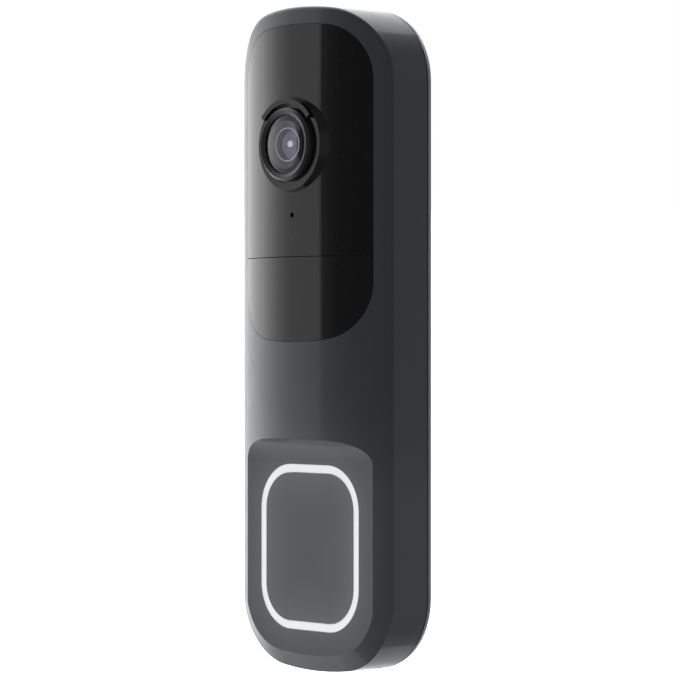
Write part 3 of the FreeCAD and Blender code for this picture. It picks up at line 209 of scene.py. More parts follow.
def moulded_grain():
    """Fine spark-eroded mould texture with a faint uneven tone and a little dust."""
    tree, given, made = new_group(
        "moulded_grain",
        [("Vector", "NodeSocketVector", None), ("Colour", "NodeSocketColor", (0.1, 0.1, 0.1, 1.0)),
         ("Grain", "NodeSocketFloat", 5000.0), ("Roughness", "NodeSocketFloat", 0.4),
         ("Unevenness", "NodeSocketFloat", 0.08), ("Dust", "NodeSocketFloat", 0.02)],
        SURFACE_OUTPUTS)
    vector = given.outputs["Vector"]
    grain = noise_node(tree, vector, given.outputs["Grain"], 3.0, 0.6)
    mottle = noise_node(tree, vector, 260.0, 3.0, 0.55)
    specks = noise_node(tree, vector, 1900.0, 1.0, 0.5)
    speck_mask = remap(tree, specks, 0.70, 0.78, 0.0, given.outputs["Dust"])
    shade = remap(tree, mottle, 0.3, 0.7, math_node(tree, "SUBTRACT", 1.0, given.outputs["Unevenness"]),
                  math_node(tree, "ADD", 1.0, given.outputs["Unevenness"]))
    dusty = mix_colour(tree, speck_mask, toned(tree, given.outputs["Colour"], shade), (0.45, 0.45, 0.44))
    tree.links.new(dusty, made.inputs["Colour"])
    rough = math_node(tree, "ADD", given.outputs["Roughness"], remap(tree, mottle, 0.3, 0.7, -0.04, 0.04))
    rough = math_node(tree, "ADD", rough, remap(tree, grain, 0.3, 0.7, -0.03, 0.03), clamp=True)
    tree.links.new(rough, made.inputs["Roughness"])
    tree.links.new(grain, made.inputs["Height"])
    return tree


def wiped_gloss():
    """Polished surface with very faint wiping marks and single dust grains."""
    tree, given, made = new_group(
        "wiped_gloss",
        [("Vector", "NodeSocketVector", None), ("Colour", "NodeSocketColor", (0.01, 0.01, 0.01, 1.0)),
         ("Roughness", "NodeSocketFloat", 0.03), ("Marks", "NodeSocketFloat", 0.02),
         ("Dust", "NodeSocketFloat", 0.05)],
        SURFACE_OUTPUTS)
    vector = given.outputs["Vector"]
    stretch = tree.nodes.new("ShaderNodeMapping")
    stretch.inputs["Rotation"].default_value = (0.0, 0.5, 0.0)
    stretch.inputs["Scale"].default_value = (1.0, 1.0, 7.0)
    tree.links.new(vector, stretch.inputs["Vector"])
    wipe = noise_node(tree, stretch.outputs["Vector"], 180.0, 5.0, 0.65)
    specks = noise_node(tree, vector, 2600.0, 0.0)
    speck_mask = remap(tree, specks, 0.76, 0.80, 0.0, given.outputs["Dust"])
    marks = remap(tree, wipe, 0.45, 0.75, 0.0, given.outputs["Marks"])
    dusty = mix_colour(tree, speck_mask, given.outputs["Colour"], (0.4, 0.4, 0.4))
    tree.links.new(dusty, made.inputs["Colour"])
    tree.links.new(math_node(tree, "ADD", given.outputs["Roughness"], marks), made.inputs["Roughness"])
    tree.links.new(noise_node(tree, vector, 90.0, 1.0), made.inputs["Height"])
    return tree


def worked_metal():
    """Metal with fine tool lines round one axis and a slight stain."""
    tree, given, made = new_group(
        "worked_metal",
        [("Vector", "NodeSocketVector", None), ("Colour", "NodeSocketColor", (0.5, 0.5, 0.5, 1.0)),
         ("Roughness", "NodeSocketFloat", 0.3), ("Lines", "NodeSocketFloat", 9000.0),
         ("Stain", "NodeSocketFloat", 0.12)],
        SURFACE_OUTPUTS)
    vector = given.outputs["Vector"]
    axes = split(tree, vector)
    around = combine(tree, flat_length(tree, axes["X"], axes["Z"]), axes["Y"])
    lines = noise_node(tree, around, given.outputs["Lines"], 2.0)
    stain = noise_node(tree, vector, 500.0, 4.0, 0.6)
    shade = remap(tree, stain, 0.3, 0.7, math_node(tree, "SUBTRACT", 1.0, given.outputs["Stain"]), 1.0)
    tree.links.new(toned(tree, given.outputs["Colour"], shade), made.inputs["Colour"])
    streaks = remap(tree, lines, 0.3, 0.7, -0.06, 0.06)
    rough = math_node(tree, "ADD", given.outputs["Roughness"], streaks, clamp=True)
    tree.links.new(rough, made.inputs["Roughness"])
    tree.links.new(lines, made.inputs["Height"])
    return tree


def band_glow():
    """How near a point is to the lit band, from 0 far away to 1 beside it."""
    tree, given, made = new_group(
        "band_glow",
        [("Vector", "NodeSocketVector", None), ("Half Width", "NodeSocketFloat", 0.015),
         ("Half Height", "NodeSocketFloat", 0.017), ("Corner", "NodeSocketFloat", 0.009),
         ("Reach", "NodeSocketFloat", 0.004)],
        [("Glow", "NodeSocketFloat")])
    axes = split(tree, given.outputs["Vector"])
    pieces = []
    for axis, half in (("X", "Half Width"), ("Z", "Half Height")):
        inner = math_node(tree, "SUBTRACT", given.outputs[half], given.outputs["Corner"])
        away = math_node(tree, "SUBTRACT", math_node(tree, "ABSOLUTE", axes[axis]), inner)
        pieces.append((away, math_node(tree, "MAXIMUM", away, 0.0)))
    (flat_x, out_x), (flat_z, out_z) = pieces
    corner = flat_length(tree, out_x, out_z)
    inside = math_node(tree, "MINIMUM", math_node(tree, "MAXIMUM", flat_x, flat_z), 0.0)
    distance = math_node(tree, "SUBTRACT", math_node(tree, "ADD", corner, inside), given.outputs["Corner"])
    away = math_node(tree, "DIVIDE", math_node(tree, "ABSOLUTE", distance), given.outputs["Reach"])
    falloff = math_node(tree, "POWER", 2.0, times(tree, away, -2.0))
    tree.links.new(falloff, made.inputs["Glow"])
    return tree


def spot():
    """1 inside a disc seen along Y, 0 outside, with a soft edge."""
    tree, given, made = new_group(
        "spot", [("Vector", "NodeSocketVector", None), ("Radius", "NodeSocketFloat", 0.001),
                 ("Softness", "NodeSocketFloat", 0.0002)], [("Mask", "NodeSocketFloat")])
    axes = split(tree, given.outputs["Vector"])
    radius = flat_length(tree, axes["X"], axes["Z"])
    edge = math_node(tree, "ADD", given.outputs["Radius"], given.outputs["Softness"])
    tree.links.new(remap(tree, radius, given.outputs["Radius"], edge, 1.0, 0.0), made.inputs["Mask"])
    return tree


class Finish:
    """A material under construction: Principled shader, object coordinates and shared groups."""

    def __init__(self, name):
        self.material = bpy.data.materials.new(name)
        self.material.use_nodes = True
        self.tree = self.material.node_tree
        self.shader = self.tree.nodes["Principled BSDF"]
        self.coordinates = self.tree.nodes.new("ShaderNodeTexCoord")

    def vector(self, centre=(0.0, 0.0, 0.0), turn=(0.0, 0.0, 0.0), scale=(1.0, 1.0, 1.0)):
        """Object coordinates moved so that centre is the origin, then turned and scaled."""
        shift = self.tree.nodes.new("ShaderNodeMapping")
        shift.inputs["Location"].default_value = tuple(-c for c in centre)
        self.tree.links.new(self.coordinates.outputs["Object"], shift.inputs["Vector"])
        if any(turn) or scale != (1.0, 1.0, 1.0):
            spin = self.tree.nodes.new("ShaderNodeMapping")
            spin.inputs["Rotation"].default_value = turn
            spin.inputs["Scale"].default_value = scale
            self.tree.links.new(shift.outputs["Vector"], spin.inputs["Vector"])
            return spin.outputs["Vector"]
        return shift.outputs["Vector"]

    def use(self, group, vector=None, **values):
        """Add a shared group with its inputs set by name."""
        node = self.tree.nodes.new("ShaderNodeGroup")
        node.node_tree = bpy.data.node_groups[group]
        self.tree.links.new(vector or self.coordinates.outputs["Object"], node.inputs["Vector"])
        for label, value in values.items():
            put(self.tree, node.inputs[label.replace("_", " ")], value)
        return node

    def link(self, output, label):
        """Join a socket to the shader's input of that name."""
        self.tree.links.new(output, self.shader.inputs[label])

    def set(self, **values):
        """Set plain values on the shader's own inputs."""
        for label, value in values.items():
            put(self.tree, self.shader.inputs[label.replace("_", " ")], value)
        return self

    def bump(self, height, distance, strength=1.0):
        """Turn a height into a fine relief of the given depth."""
        node = self.tree.nodes.new("ShaderNodeBump")
        node.inputs["Distance"].default_value = distance
        node.inputs["Strength"].default_value = strength
        self.tree.links.new(height, node.inputs["Height"])
        self.link(node.outputs["Normal"], "Normal")
        return node

    def surface(self, node, depth, strength=1.0):
        """Colour, roughness and bump from one of the shared groups."""
        self.link(node.outputs["Colour"], "Base Color")
        self.link(node.outputs["Roughness"], "Roughness")
        self.bump(node.outputs["Height"], depth, strength)
        return self


# ---------------------------------------------------------------- repeating pieces


def grow_tree(name, inputs):
    """A geometry tree with named sizes, and its input and output nodes."""
    tree = bpy.data.node_groups.new(name, "GeometryNodeTree")
    tree.interface.new_socket("Geometry", in_out="INPUT", socket_type="NodeSocketGeometry")
    for label, default in inputs:
        socket = tree.interface.new_socket(label, in_out="INPUT", socket_type="NodeSocketFloat")
        socket.default_value = default
    tree.interface.new_socket("Turn", in_out="INPUT", socket_type="NodeSocketVector")
    tree.interface.new_socket("Material", in_out="INPUT", socket_type="NodeSocketMaterial")
    tree.interface.new_socket("Geometry", in_out="OUTPUT", socket_type="NodeSocketGeometry")
    return tree, tree.nodes.new("NodeGroupInput"), tree.nodes.new("NodeGroupOutput")


def feed(tree, kind, **values):
    """A new node whose inputs are linked or set by name."""
    node = tree.nodes.new(kind)
    for label, value in values.items():
        socket = next(s for s in node.inputs if s.name == label.replace("_", " ") and s.enabled)
        for item in value if isinstance(value, list) else [value]:
            put(tree, socket, item)
    return node


def combine(tree, x=0.0, y=0.0, z=0.0):
    """A vector from three sockets or numbers."""
    return feed(tree, "ShaderNodeCombineXYZ", X=x, Y=y, Z=z).outputs[0]


def moved(tree, geometry, place):
    """The geometry shifted to a place."""
    return feed(tree, "GeometryNodeTransform", Geometry=geometry, Translation=place).outputs[0]


def finish_tree(tree, given, made, unit):
    """Put the unit on every point, turned, made real and given its material."""
    placed = feed(tree, "GeometryNodeInstanceOnPoints", Points=given.outputs["Geometry"], Instance=unit)
    turn = feed(tree, "FunctionNodeEulerToRotation", Euler=given.outputs["Turn"])
    tree.links.new(turn.outputs[0], placed.inputs["Rotation"])
    real = feed(tree, "GeometryNodeRealizeInstances", Geometry=placed.outputs[0])
    painted = feed(tree, "GeometryNodeSetMaterial", Geometry=real.outputs[0],
                   Material=given.outputs["Material"])
    tree.links.new(painted.outputs[0], made.inputs["Geometry"])


def screw_tree():
    """A screw on every point: dished head with a cross recess, core and a raised thread."""
    tree, given, made = grow_tree("screws", (
        ("Head Radius", 0.0019), ("Head Height", 0.0008), ("Shank Radius", 0.001), ("Length", 0.007),
        ("Pitch", 0.0004), ("Slot Reach", 0.0011), ("Slot Width", 0.00044), ("Slot Depth", 0.0005)))
    size = given.outputs
    head = feed(tree, "GeometryNodeMeshCone", Vertices=48, Radius_Bottom=size["Head Radius"],
                Depth=size["Head Height"],
                Radius_Top=times(tree, size["Head Radius"], 0.86))
    slot_height = times(tree, size["Slot Depth"], 2.0)
    reach = times(tree, size["Slot Reach"], 2.0)
    top = combine(tree, z=size["Head Height"])
    bars = []
    for across in ((reach, size["Slot Width"]), (size["Slot Width"], reach)):
        bar = feed(tree, "GeometryNodeMeshCube", Size=combine(tree, across[0], across[1], slot_height))
        bars.append(moved(tree, bar.outputs[0], top))
    recess = tree.nodes.new("GeometryNodeMeshBoolean")
    recess.operation = "DIFFERENCE"
    recess.solver = "EXACT"
    tree.links.new(head.outputs[0], recess.inputs["Mesh 1"])
    for bar in bars:
        tree.links.new(bar, recess.inputs["Mesh 2"])
    core = feed(tree, "GeometryNodeMeshCylinder", Vertices=32, Depth=size["Length"],
                Radius=times(tree, size["Shank Radius"], 0.82))
    core_place = combine(tree, z=times(tree, size["Length"], -0.5))
    thread_height = times(tree, size["Length"], 0.9)
    crest = times(tree, size["Shank Radius"], 0.14)
    radius = times(tree, size["Shank Radius"], 0.84)
    spiral = feed(tree, "GeometryNodeCurveSpiral", Resolution=16, Start_Radius=radius, End_Radius=radius,
                  Height=thread_height, Rotations=math_node(tree, "DIVIDE", thread_height, size["Pitch"]))
    ridge = feed(tree, "GeometryNodeCurvePrimitiveCircle", Resolution=3, Radius=crest)
    thread = feed(tree, "GeometryNodeCurveToMesh", Curve=spiral.outputs[0], Profile_Curve=ridge.outputs[0],
                  Fill_Caps=True)
    thread_place = combine(tree, z=times(tree, size["Length"], -0.96))
    core_moved = moved(tree, core.outputs[0], core_place)
    thread_moved = moved(tree, thread.outputs[0], thread_place)
    unit = feed(tree, "GeometryNodeJoinGeometry", Geometry=[recess.outputs[0], core_moved, thread_moved])
    finish_tree(tree, given, made, unit.outputs[0])


def ring_tree():
    """A flat ring on every point, its axis along the turned Z."""
    tree, given, made = grow_tree("ring", (("Outer", 0.0051), ("Hole", 0.0033), ("Thickness", 0.0001)))
    size = given.outputs
    mean = times(tree, math_node(tree, "ADD", size["Outer"], size["Hole"]), 0.5)
    circle = feed(tree, "GeometryNodeCurvePrimitiveCircle", Resolution=96, Radius=mean)
    section = feed(tree, "GeometryNodeCurvePrimitiveQuadrilateral", Height=size["Thickness"],
                   Width=math_node(tree, "SUBTRACT", size["Outer"], size["Hole"]))
    ring = feed(tree, "GeometryNodeCurveToMesh", Curve=circle.outputs[0], Profile_Curve=section.outputs[0])
    finish_tree(tree, given, made, ring.outputs[0])


def mesh_tree():
    """A wire sheet over every point: two layers of wavy wires that cross at right angles."""
    tree, given, made = grow_tree("weave", (
        ("Width", 0.006), ("Height", 0.0035), ("Pitch", 0.0005), ("Wire", 0.00007)))
    size = given.outputs
    runs = []
    for long_side, short_side, sign in (("Width", "Height", 1.0), ("Height", "Width", -1.0)):
        half = times(tree, math_node(tree, "SUBTRACT", size[long_side], 0.0001), 0.5)
        room = math_node(tree, "SUBTRACT", size[short_side], times(tree, size["Wire"], 2.0))
        back = times(tree, half, -1.0)
        ends = (combine(tree, x=back), combine(tree, x=half)) if sign > 0 else (
            combine(tree, y=back), combine(tree, y=half))
        wire = feed(tree, "GeometryNodeCurvePrimitiveLine", Start=ends[0], End=ends[1])
        fine = feed(tree, "GeometryNodeResampleCurve", Curve=wire.outputs[0], Count=64)
        position = tree.nodes.new("GeometryNodeInputPosition").outputs[0]
        along = split(tree, position)["X" if sign > 0 else "Y"]
        phase = math_node(tree, "DIVIDE", times(tree, along, math.pi), size["Pitch"])
        wave = math_node(tree, "SINE", phase)
        lift = times(tree, times(tree, wave, size["Wire"]), 0.9 * sign)
        bent = feed(tree, "GeometryNodeSetPosition", Geometry=fine.outputs[0], Offset=combine(tree, z=lift))
        count = feed(tree, "FunctionNodeFloatToInt", Float=math_node(tree, "DIVIDE", room, size["Pitch"]))
        half_room = times(tree, room, 0.5)
        far_room = times(tree, half_room, -1.0)
        span = (combine(tree, y=far_room), combine(tree, y=half_room)) if sign > 0 else (
            combine(tree, x=far_room), combine(tree, x=half_room))
        row = feed(tree, "GeometryNodeCurvePrimitiveLine", Start=span[0], End=span[1])
        places = feed(tree, "GeometryNodeCurveToPoints", Curve=row.outputs[0], Count=count.outputs[0])
        profile = feed(tree, "GeometryNodeCurvePrimitiveCircle", Resolution=6, Radius=size["Wire"])
        solid = feed(tree, "GeometryNodeCurveToMesh", Curve=bent.outputs[0], Profile_Curve=profile.outputs[0],
                     Fill_Caps=True)
        runs.append(feed(tree, "GeometryNodeInstanceOnPoints", Points=places.outputs[0],
                         Instance=solid.outputs[0]).outputs[0])
    unit = feed(tree, "GeometryNodeJoinGeometry", Geometry=runs)
    finish_tree(tree, given, made, unit.outputs[0])


def grow(name, tree_name, points, finish, body, turn=(0.0, 0.0, 0.0), replaced=None, slot=None, **sizes):
    """Run a geometry tree on the given points and keep the result as one plain piece."""
    seeds = bpy.data.meshes.new(name + "_points")
    seeds.from_pydata(points, [], [])
    carrier = bpy.data.objects.new(name + "_points", seeds)
    bpy.context.scene.collection.objects.link(carrier)
    modifier = carrier.modifiers.new("grow", "NODES")
    modifier.node_group = bpy.data.node_groups[tree_name]
    sockets = {item.name: item.identifier for item in modifier.node_group.interface.items_tree
               if item.in_out == "INPUT"}
    for label, value in sizes.items():
        modifier[sockets[label.replace("_", " ")]] = value
    modifier[sockets["Turn"]] = turn
    modifier[sockets["Material"]] = finish.material
    graph = bpy.context.evaluated_depsgraph_get()
    data = bpy.data.meshes.new_from_object(carrier.evaluated_get(graph))
    carrier.modifiers.remove(modifier)
    bpy.data.objects.remove(carrier)
    if not data.polygons:
        raise RuntimeError(name + " came out empty")
    return keep(name, data, body, replaced)


def keep(name, data, body, replaced=None):
    """Link a finished mesh as a piece that rides on a body."""
    data.name = name
    for face in data.polygons:
        face.use_smooth = True
    data.set_sharp_from_angle(angle=math.radians(35))
    piece = bpy.data.objects.new(name, data)
    bpy.context.scene.collection.objects.link(piece)
    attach(piece, body)
    if replaced:
        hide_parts(replaced)
    return piece


def plastic(name, colour, roughness=0.45, grain=4500.0, depth=4e-6, dust=0.03, **extra):
    """Moulded plastic with a fine grain."""
    finish = Finish(name)
    node = finish.use("moulded_grain", Colour=colour, Roughness=roughness, Grain=grain, Dust=dust)
    finish.surface(node, depth)
    return finish.set(**extra)


def gloss(name, colour, roughness=0.03, marks=0.02, dust=0.04, **extra):
    """Polished plastic, glass or epoxy."""
    finish = Finish(name)
    node = finish.use("wiped_gloss", Colour=colour, Roughness=roughness, Marks=marks, Dust=dust)
    finish.surface(node, 2e-6, 0.3)
    return finish.set(**extra)


def metal(name, colour, roughness=0.3, centre=(0.0, 0.0, 0.0), turn=(0.0, 0.0, 0.0), depth=2e-6, **extra):
    """Turned or rolled bare metal; turn lays the tool marks round another axis."""
    finish = Finish(name)
    node = finish.use("worked_metal", finish.vector(centre, turn), Colour=colour, Roughness=roughness)
    finish.surface(node, depth, 0.5)
    return finish.set(Metallic=1.0, **extra)


def dress(node, finish):
    """Put a finish on a CAD node."""
    item = frame["nodes"][node]
    item.data.materials.clear()
    item.data.materials.append(finish.material)
    return item


# ---------------------------------------------------------------- settings


class DoorbellShell(bpy.types.PropertyGroup):
    colour: FloatVectorProperty(name="Shell colour", description="Graphite of the moulded shell",
                                subtype="COLOR", size=3, min=0.0, max=1.0, default=(0.083, 0.090, 0.102))
    roughness: FloatProperty(name="Roughness", description="Satin of the shell",
                             default=0.42, min=0.0, max=1.0)
    grain: FloatProperty(name="Grain depth", description="Depth of the mould texture",
                         default=3e-6, min=0.0, subtype="DISTANCE", unit="LENGTH", precision=7)


class DoorbellWindow(bpy.types.PropertyGroup):
    colour: FloatVectorProperty(name="Window colour", description="Infrared-transparent black",
                                subtype="COLOR", size=3, min=0.0, max=1.0, default=(0.003, 0.003, 0.003))
    roughness: FloatProperty(name="Roughness", description="Polish of the camera window",
                             default=0.02, min=0.0, max=1.0)


class DoorbellLens(bpy.types.PropertyGroup):
    tint: FloatVectorProperty(name="Coating tint", description="Colour seen in the coated lens",
                              subtype="COLOR", size=3, min=0.0, max=1.0, default=(0.76, 0.74, 0.86))
    rings: IntProperty(name="Baffle rings", description="Steps turned into the light baffle",
                       default=5, min=2, max=12)


class DoorbellButton(bpy.types.PropertyGroup):
    band_colour: FloatVectorProperty(name="Band colour", description="Light of the ring round the button",
                                     subtype="COLOR", size=3, min=0.0, max=1.0, default=(0.97, 0.98, 1.0))
    band_strength: FloatProperty(name="Band strength", description="How brightly the band is lit",
                                 default=0.50, min=0.0)
    # Strength of the glow painted as emission on the shell and pad beside the band.
    spill: FloatProperty(name="Light spill", description="Light that leaks into the plastic beside the band",
                         default=0.05, min=0.0)


class DoorbellStage(bpy.types.PropertyGroup):
    floor_drop: FloatProperty(name="Floor drop", description="From the doorbell's lower end to the floor",
                              default=0.22, min=0.0, subtype="DISTANCE", unit="LENGTH")
    brightness: FloatProperty(name="Studio brightness", description="Strength of the studio panels",
                              default=1.0, min=0.0)
    azimuth: FloatProperty(name="Camera azimuth", description="Angle from the front towards the right side",
                           default=math.radians(47.68), subtype="ANGLE", unit="ROTATION")
    distance: FloatProperty(name="Camera distance", description="Distance from the doorbell's middle",
                            default=0.674, min=0.1, subtype="DISTANCE", unit="LENGTH")
    lens: FloatProperty(name="Focal length", description="Focal length on a 36 mm sensor, in millimetres",
                        default=163.48, min=20.0)


# ---------------------------------------------------------------- operators


class DOORBELL_OT_housing(bpy.types.Operator):
    """Satin shell, rear housing, seal and wall bracket"""

    bl_idname = "doorbell.housing"
    bl_label = "Housing"

    def execute(self, context):
        settings = context.scene.doorbell_shell
        shell = Finish("graphite_shell")
        grain = shell.use("moulded_grain", Colour=settings.colour, Roughness=settings.roughness, Grain=5200.0,
                          Unevenness=0.02, Dust=0.02)
        shell.surface(grain, settings.grain, 0.6)
        shell.set(Coat_Weight=0.34, Coat_Roughness=0.07, Specular_IOR_Level=0.25)
        add_painted_glow(shell, context.scene.doorbell_button)
        dress("front_shell", shell)
        dress("rear_housing", plastic("housing_plastic", (0.105, 0.11, 0.118), 0.45, Coat_Weight=0.2,
                                      Coat_Roughness=0.2))
        dress("perimeter_seal", plastic("seal_silicone", (0.012, 0.012, 0.013), 0.6, grain=2500.0))
        dress("wall_bracket", plastic("bracket_plastic", (0.075, 0.077, 0.082), 0.5, grain=2600.0,
                                      depth=1.2e-5))
        return {"FINISHED"}


def add_painted_glow(finish, settings):
    """Painted glow: faint emission on the plastic beside the band, standing in for light the band sends into
    it.
    """
    low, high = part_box("light_band")
    rim = middle("light_band")
    inset = BAND_FLANGE + BAND_STROKE / 2
    glow = finish.use("band_glow", finish.vector(rim), Half_Width=(high.x - low.x) / 2 - inset,
                      Half_Height=(high.z - low.z) / 2 - inset, Corner=BAND_CORNER, Reach=PAINTED_GLOW_REACH)
    # Painted glow: the band's colour as emission on this plastic, fading with distance from the band.
    spill = mix_colour(finish.tree, glow.outputs["Glow"], (0.0, 0.0, 0.0), settings.band_colour)
    finish.link(spill, "Emission Color")
    finish.set(Emission_Strength=settings.spill)


class DOORBELL_OT_windows(bpy.types.Operator):
    """Black camera window, motion window and what sits right behind them"""

    bl_idname = "doorbell.windows"
    bl_label = "Windows"

    def execute(self, context):
        settings = context.scene.doorbell_window
        glass = Finish("black_glass")
        polish = glass.use("wiped_gloss", Colour=settings.colour, Roughness=settings.roughness, Marks=0.02)
        eye = glass.use("spot", glass.vector(middle("light_sensor")), Radius=EYE_RADIUS,
                        Softness=EYE_SOFTNESS)
        glass.surface(polish, 1e-6, 0.2)
        smoked = mix_colour(glass.tree, eye.outputs["Mask"], polish.outputs["Colour"], (0.02, 0.018, 0.018))
        glass.link(smoked, "Base Color")
        glass.set(IOR=1.5)
        dress("camera_glass", glass)
        dress("pir_window", gloss("pir_black", (0.0045, 0.0045, 0.0047), 0.06, 0.03, IOR=1.5))
        lens = plastic("fresnel_plastic", (0.72, 0.73, 0.75), 0.25, Transmission_Weight=0.3)
        rings = lens.tree.nodes.new("ShaderNodeTexWave")
        rings.wave_type = "RINGS"
        rings.rings_direction = "Y"
        rings.wave_profile = "SAW"
        rings.inputs["Scale"].default_value = 900.0
        lens.tree.links.new(lens.vector(middle("pir_sensor")), rings.inputs["Vector"])
        lens.bump(rings.outputs["Fac"], 8e-5)
        dress("fresnel_lens", lens)
        dress("light_pipe", gloss("light_guide", (0.85, 0.87, 0.9), 0.05, Transmission_Weight=0.85))
        dress("mic_gasket", plastic("gasket_silicone", (0.02, 0.02, 0.021), 0.7, grain=2500.0))
        return {"FINISHED"}


class DOORBELL_OT_camera_group(bpy.types.Operator):
    """Collar, lens barrel, coated lenses, baffle and image sensor"""

    bl_idname = "doorbell.camera_group"
    bl_label = "Camera group"

    def execute(self, context):
        settings = context.scene.doorbell_lens
        axis = middle("lens_dome")
        dress("camera_collar", gloss("collar_plastic", (0.010, 0.010, 0.011), 0.16, 0.05, IOR=1.52))
        barrel = Finish("barrel_metal")
        turned = barrel.use("worked_metal", barrel.vector(axis), Colour=(0.055, 0.055, 0.058), Roughness=0.38,
                            Lines=7000.0)
        barrel.surface(turned, 3e-6, 0.6)
        barrel.set(Metallic=0.35, Specular_IOR_Level=0.5)
        dress("lens_barrel", barrel)
        coated = gloss("coated_glass", settings.tint, 0.01, 0.01, 0.01, Transmission_Weight=1.0, IOR=1.5)
        dress("lens_dome", coated)
        inner = gloss("inner_lens_glass", (0.014, 0.012, 0.019), 0.02, 0.01, Coat_Weight=1.0,
                      Coat_Roughness=0.01, Coat_Tint=(0.90, 0.88, 1.0))
        polish = next(n for n in inner.tree.nodes if n.type == "GROUP")
        # Painted highlight: a soft spot mixed to white in the inner lens's colour and lit by emission.
        painted_glint = inner.use("spot", inner.vector(axis + PAINTED_GLINT_PLACE), Radius=PAINTED_GLINT_RADIUS,
                          Softness=PAINTED_GLINT_SOFTNESS)
        mask = painted_glint.outputs["Mask"]
        inner.link(mix_colour(inner.tree, mask, polish.outputs["Colour"], (1.0, 1.0, 1.0)), "Base Color")
        inner.link(mix_colour(inner.tree, mask, (0.0, 0.0, 0.0), (0.98, 1.0, 0.96)), "Emission Color")
        inner.set(Emission_Strength=0.5)
        dress("lens_inner", inner)
        baffle = metal("stop_metal", (0.014, 0.013, 0.018), 0.5, axis)
        dress("lens_stop", baffle)
        low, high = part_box("lens_stop")
        step = (high.y - low.y) / settings.rings
        for ring in range(settings.rings):
            hole = FIRST_HOLE - HOLE_NARROWING * ring / (settings.rings - 1)
            place = (axis.x, low.y + step * (ring + 0.5), axis.z)
            grow(f"baffle_ring_{ring + 1}", "ring", [place], baffle, "unit", HEAD_TO_FRONT,
                 "lens_stop" if ring == 0 else None, SLOT_OF_NODE["lens_stop"], Outer=(high.x - low.x) / 2,
                 Hole=hole, Thickness=step * RING_FILL)
        lip = metal("lip_metal", (0.62, 0.61, 0.64), 0.25, axis)
        place = (axis.x, high.y - LIP_SETBACK, axis.z)
        grow("aperture_lip", "ring", [place], lip, "unit", HEAD_TO_FRONT, None, SLOT_OF_NODE["lens_stop"],
             Outer=LIP_OUTER, Hole=LIP_HOLE, Thickness=LIP_THICKNESS)
        dress("lens_holder", plastic("holder_plastic", (0.02, 0.02, 0.02), 0.5))
        dress("image_sensor", gloss("sensor_chip", (0.05, 0.055, 0.10), 0.08))
        dress("camera_board", circuit_board("camera_board_mask"))
        return {"FINISHED"}


def circuit_board(name):
    """Solder mask over copper: tracks show as a faint relief and tint."""
    board = Finish(name)
    tracks = board.tree.nodes.new("ShaderNodeTexBrick")
    tracks.inputs["Color1"].default_value = (0.008, 0.075, 0.035, 1.0)
    tracks.inputs["Color2"].default_value = (0.010, 0.095, 0.045, 1.0)
    tracks.inputs["Mortar"].default_value = (0.014, 0.13, 0.06, 1.0)
    tracks.inputs["Scale"].default_value = 420.0
    tracks.inputs["Mortar Size"].default_value = 0.035
    board.tree.links.new(board.vector(turn=(math.radians(90), 0.0, 0.0)), tracks.inputs["Vector"])
    grain = board.use("moulded_grain", Colour=(0.5, 0.5, 0.5), Roughness=0.3, Grain=3000.0, Dust=0.0)
    board.link(mix_colour(board.tree, 0.25, tracks.outputs["Color"], grain.outputs["Colour"], "OVERLAY"),
               "Base Color")
    board.link(grain.outputs["Roughness"], "Roughness")
    board.bump(tracks.outputs["Fac"], 2e-5, 0.5)
    return board.set(Coat_Weight=0.5, Coat_Roughness=0.15)


class DOORBELL_OT_button_group(bpy.types.Operator):
    """Button pad, lit band, button board, its lamps and the switch"""

    bl_idname = "doorbell.button_group"
    bl_label = "Button group"

    def execute(self, context):
        settings = context.scene.doorbell_button
        shell = context.scene.doorbell_shell
        band = gloss("band_diffuser", (0.80, 0.81, 0.83), 0.35, 0.05, 0.0)
        hot = band.use("moulded_grain", Colour=settings.band_colour, Grain=900.0, Unevenness=0.015, Dust=0.0)
        band.link(hot.outputs["Colour"], "Emission Color")
        band.set(Emission_Strength=settings.band_strength)
        dress("light_band", band)
        pad = Finish("button_plastic")
        grain = pad.use("moulded_grain", Colour=shell.colour, Roughness=shell.roughness + 0.02, Grain=5200.0,
                        Unevenness=0.02, Dust=0.015)
        pad.surface(grain, shell.grain, 0.6)
        pad.set(Coat_Weight=0.25, Coat_Roughness=0.15)
        add_painted_glow(pad, settings)
        dress("button_pad", pad)
        dress("button_board", circuit_board("button_board_mask"))
        dress("band_leds", gloss("lamp_epoxy", (0.85, 0.84, 0.6), 0.15, Emission_Color=(1.0, 1.0, 1.0),
                                 Emission_Strength=0.5))
        dress("tactile_switch", plastic("switch_plastic", (0.03, 0.03, 0.03), 0.4))
        dress("switch_actuator", plastic("actuator_plastic", (0.05, 0.05, 0.05), 0.35))
        dress("flex_cable", plastic("flex_film", (0.35, 0.15, 0.02), 0.25, grain=800.0, Coat_Weight=0.4))
        return {"FINISHED"}


class DOORBELL_OT_electronics(bpy.types.Operator):
    """Main board and the parts on it"""

    bl_idname = "doorbell.electronics"
    bl_label = "Electronics"

    def execute(self, context):
        dress("main_board", circuit_board("main_board_mask"))
        for node in ("processor", "power_components", "microphone", "light_sensor", "tamper_switch"):
            dress(node, plastic(node + "_package", (0.02, 0.02, 0.022), 0.42, grain=5000.0, depth=6e-6))
        dress("radio_shield", metal("tin_shield", (0.62, 0.63, 0.64), 0.28))
        dress("pir_sensor", metal("sensor_can", (0.62, 0.62, 0.60), 0.25, middle("pir_sensor")))
        dress("ir_leds", gloss("clear_epoxy", (0.75, 0.76, 0.80), 0.06, Transmission_Weight=0.5))
        dress("antenna", metal("antenna_copper", (0.70, 0.33, 0.16), 0.3))
        return {"FINISHED"}


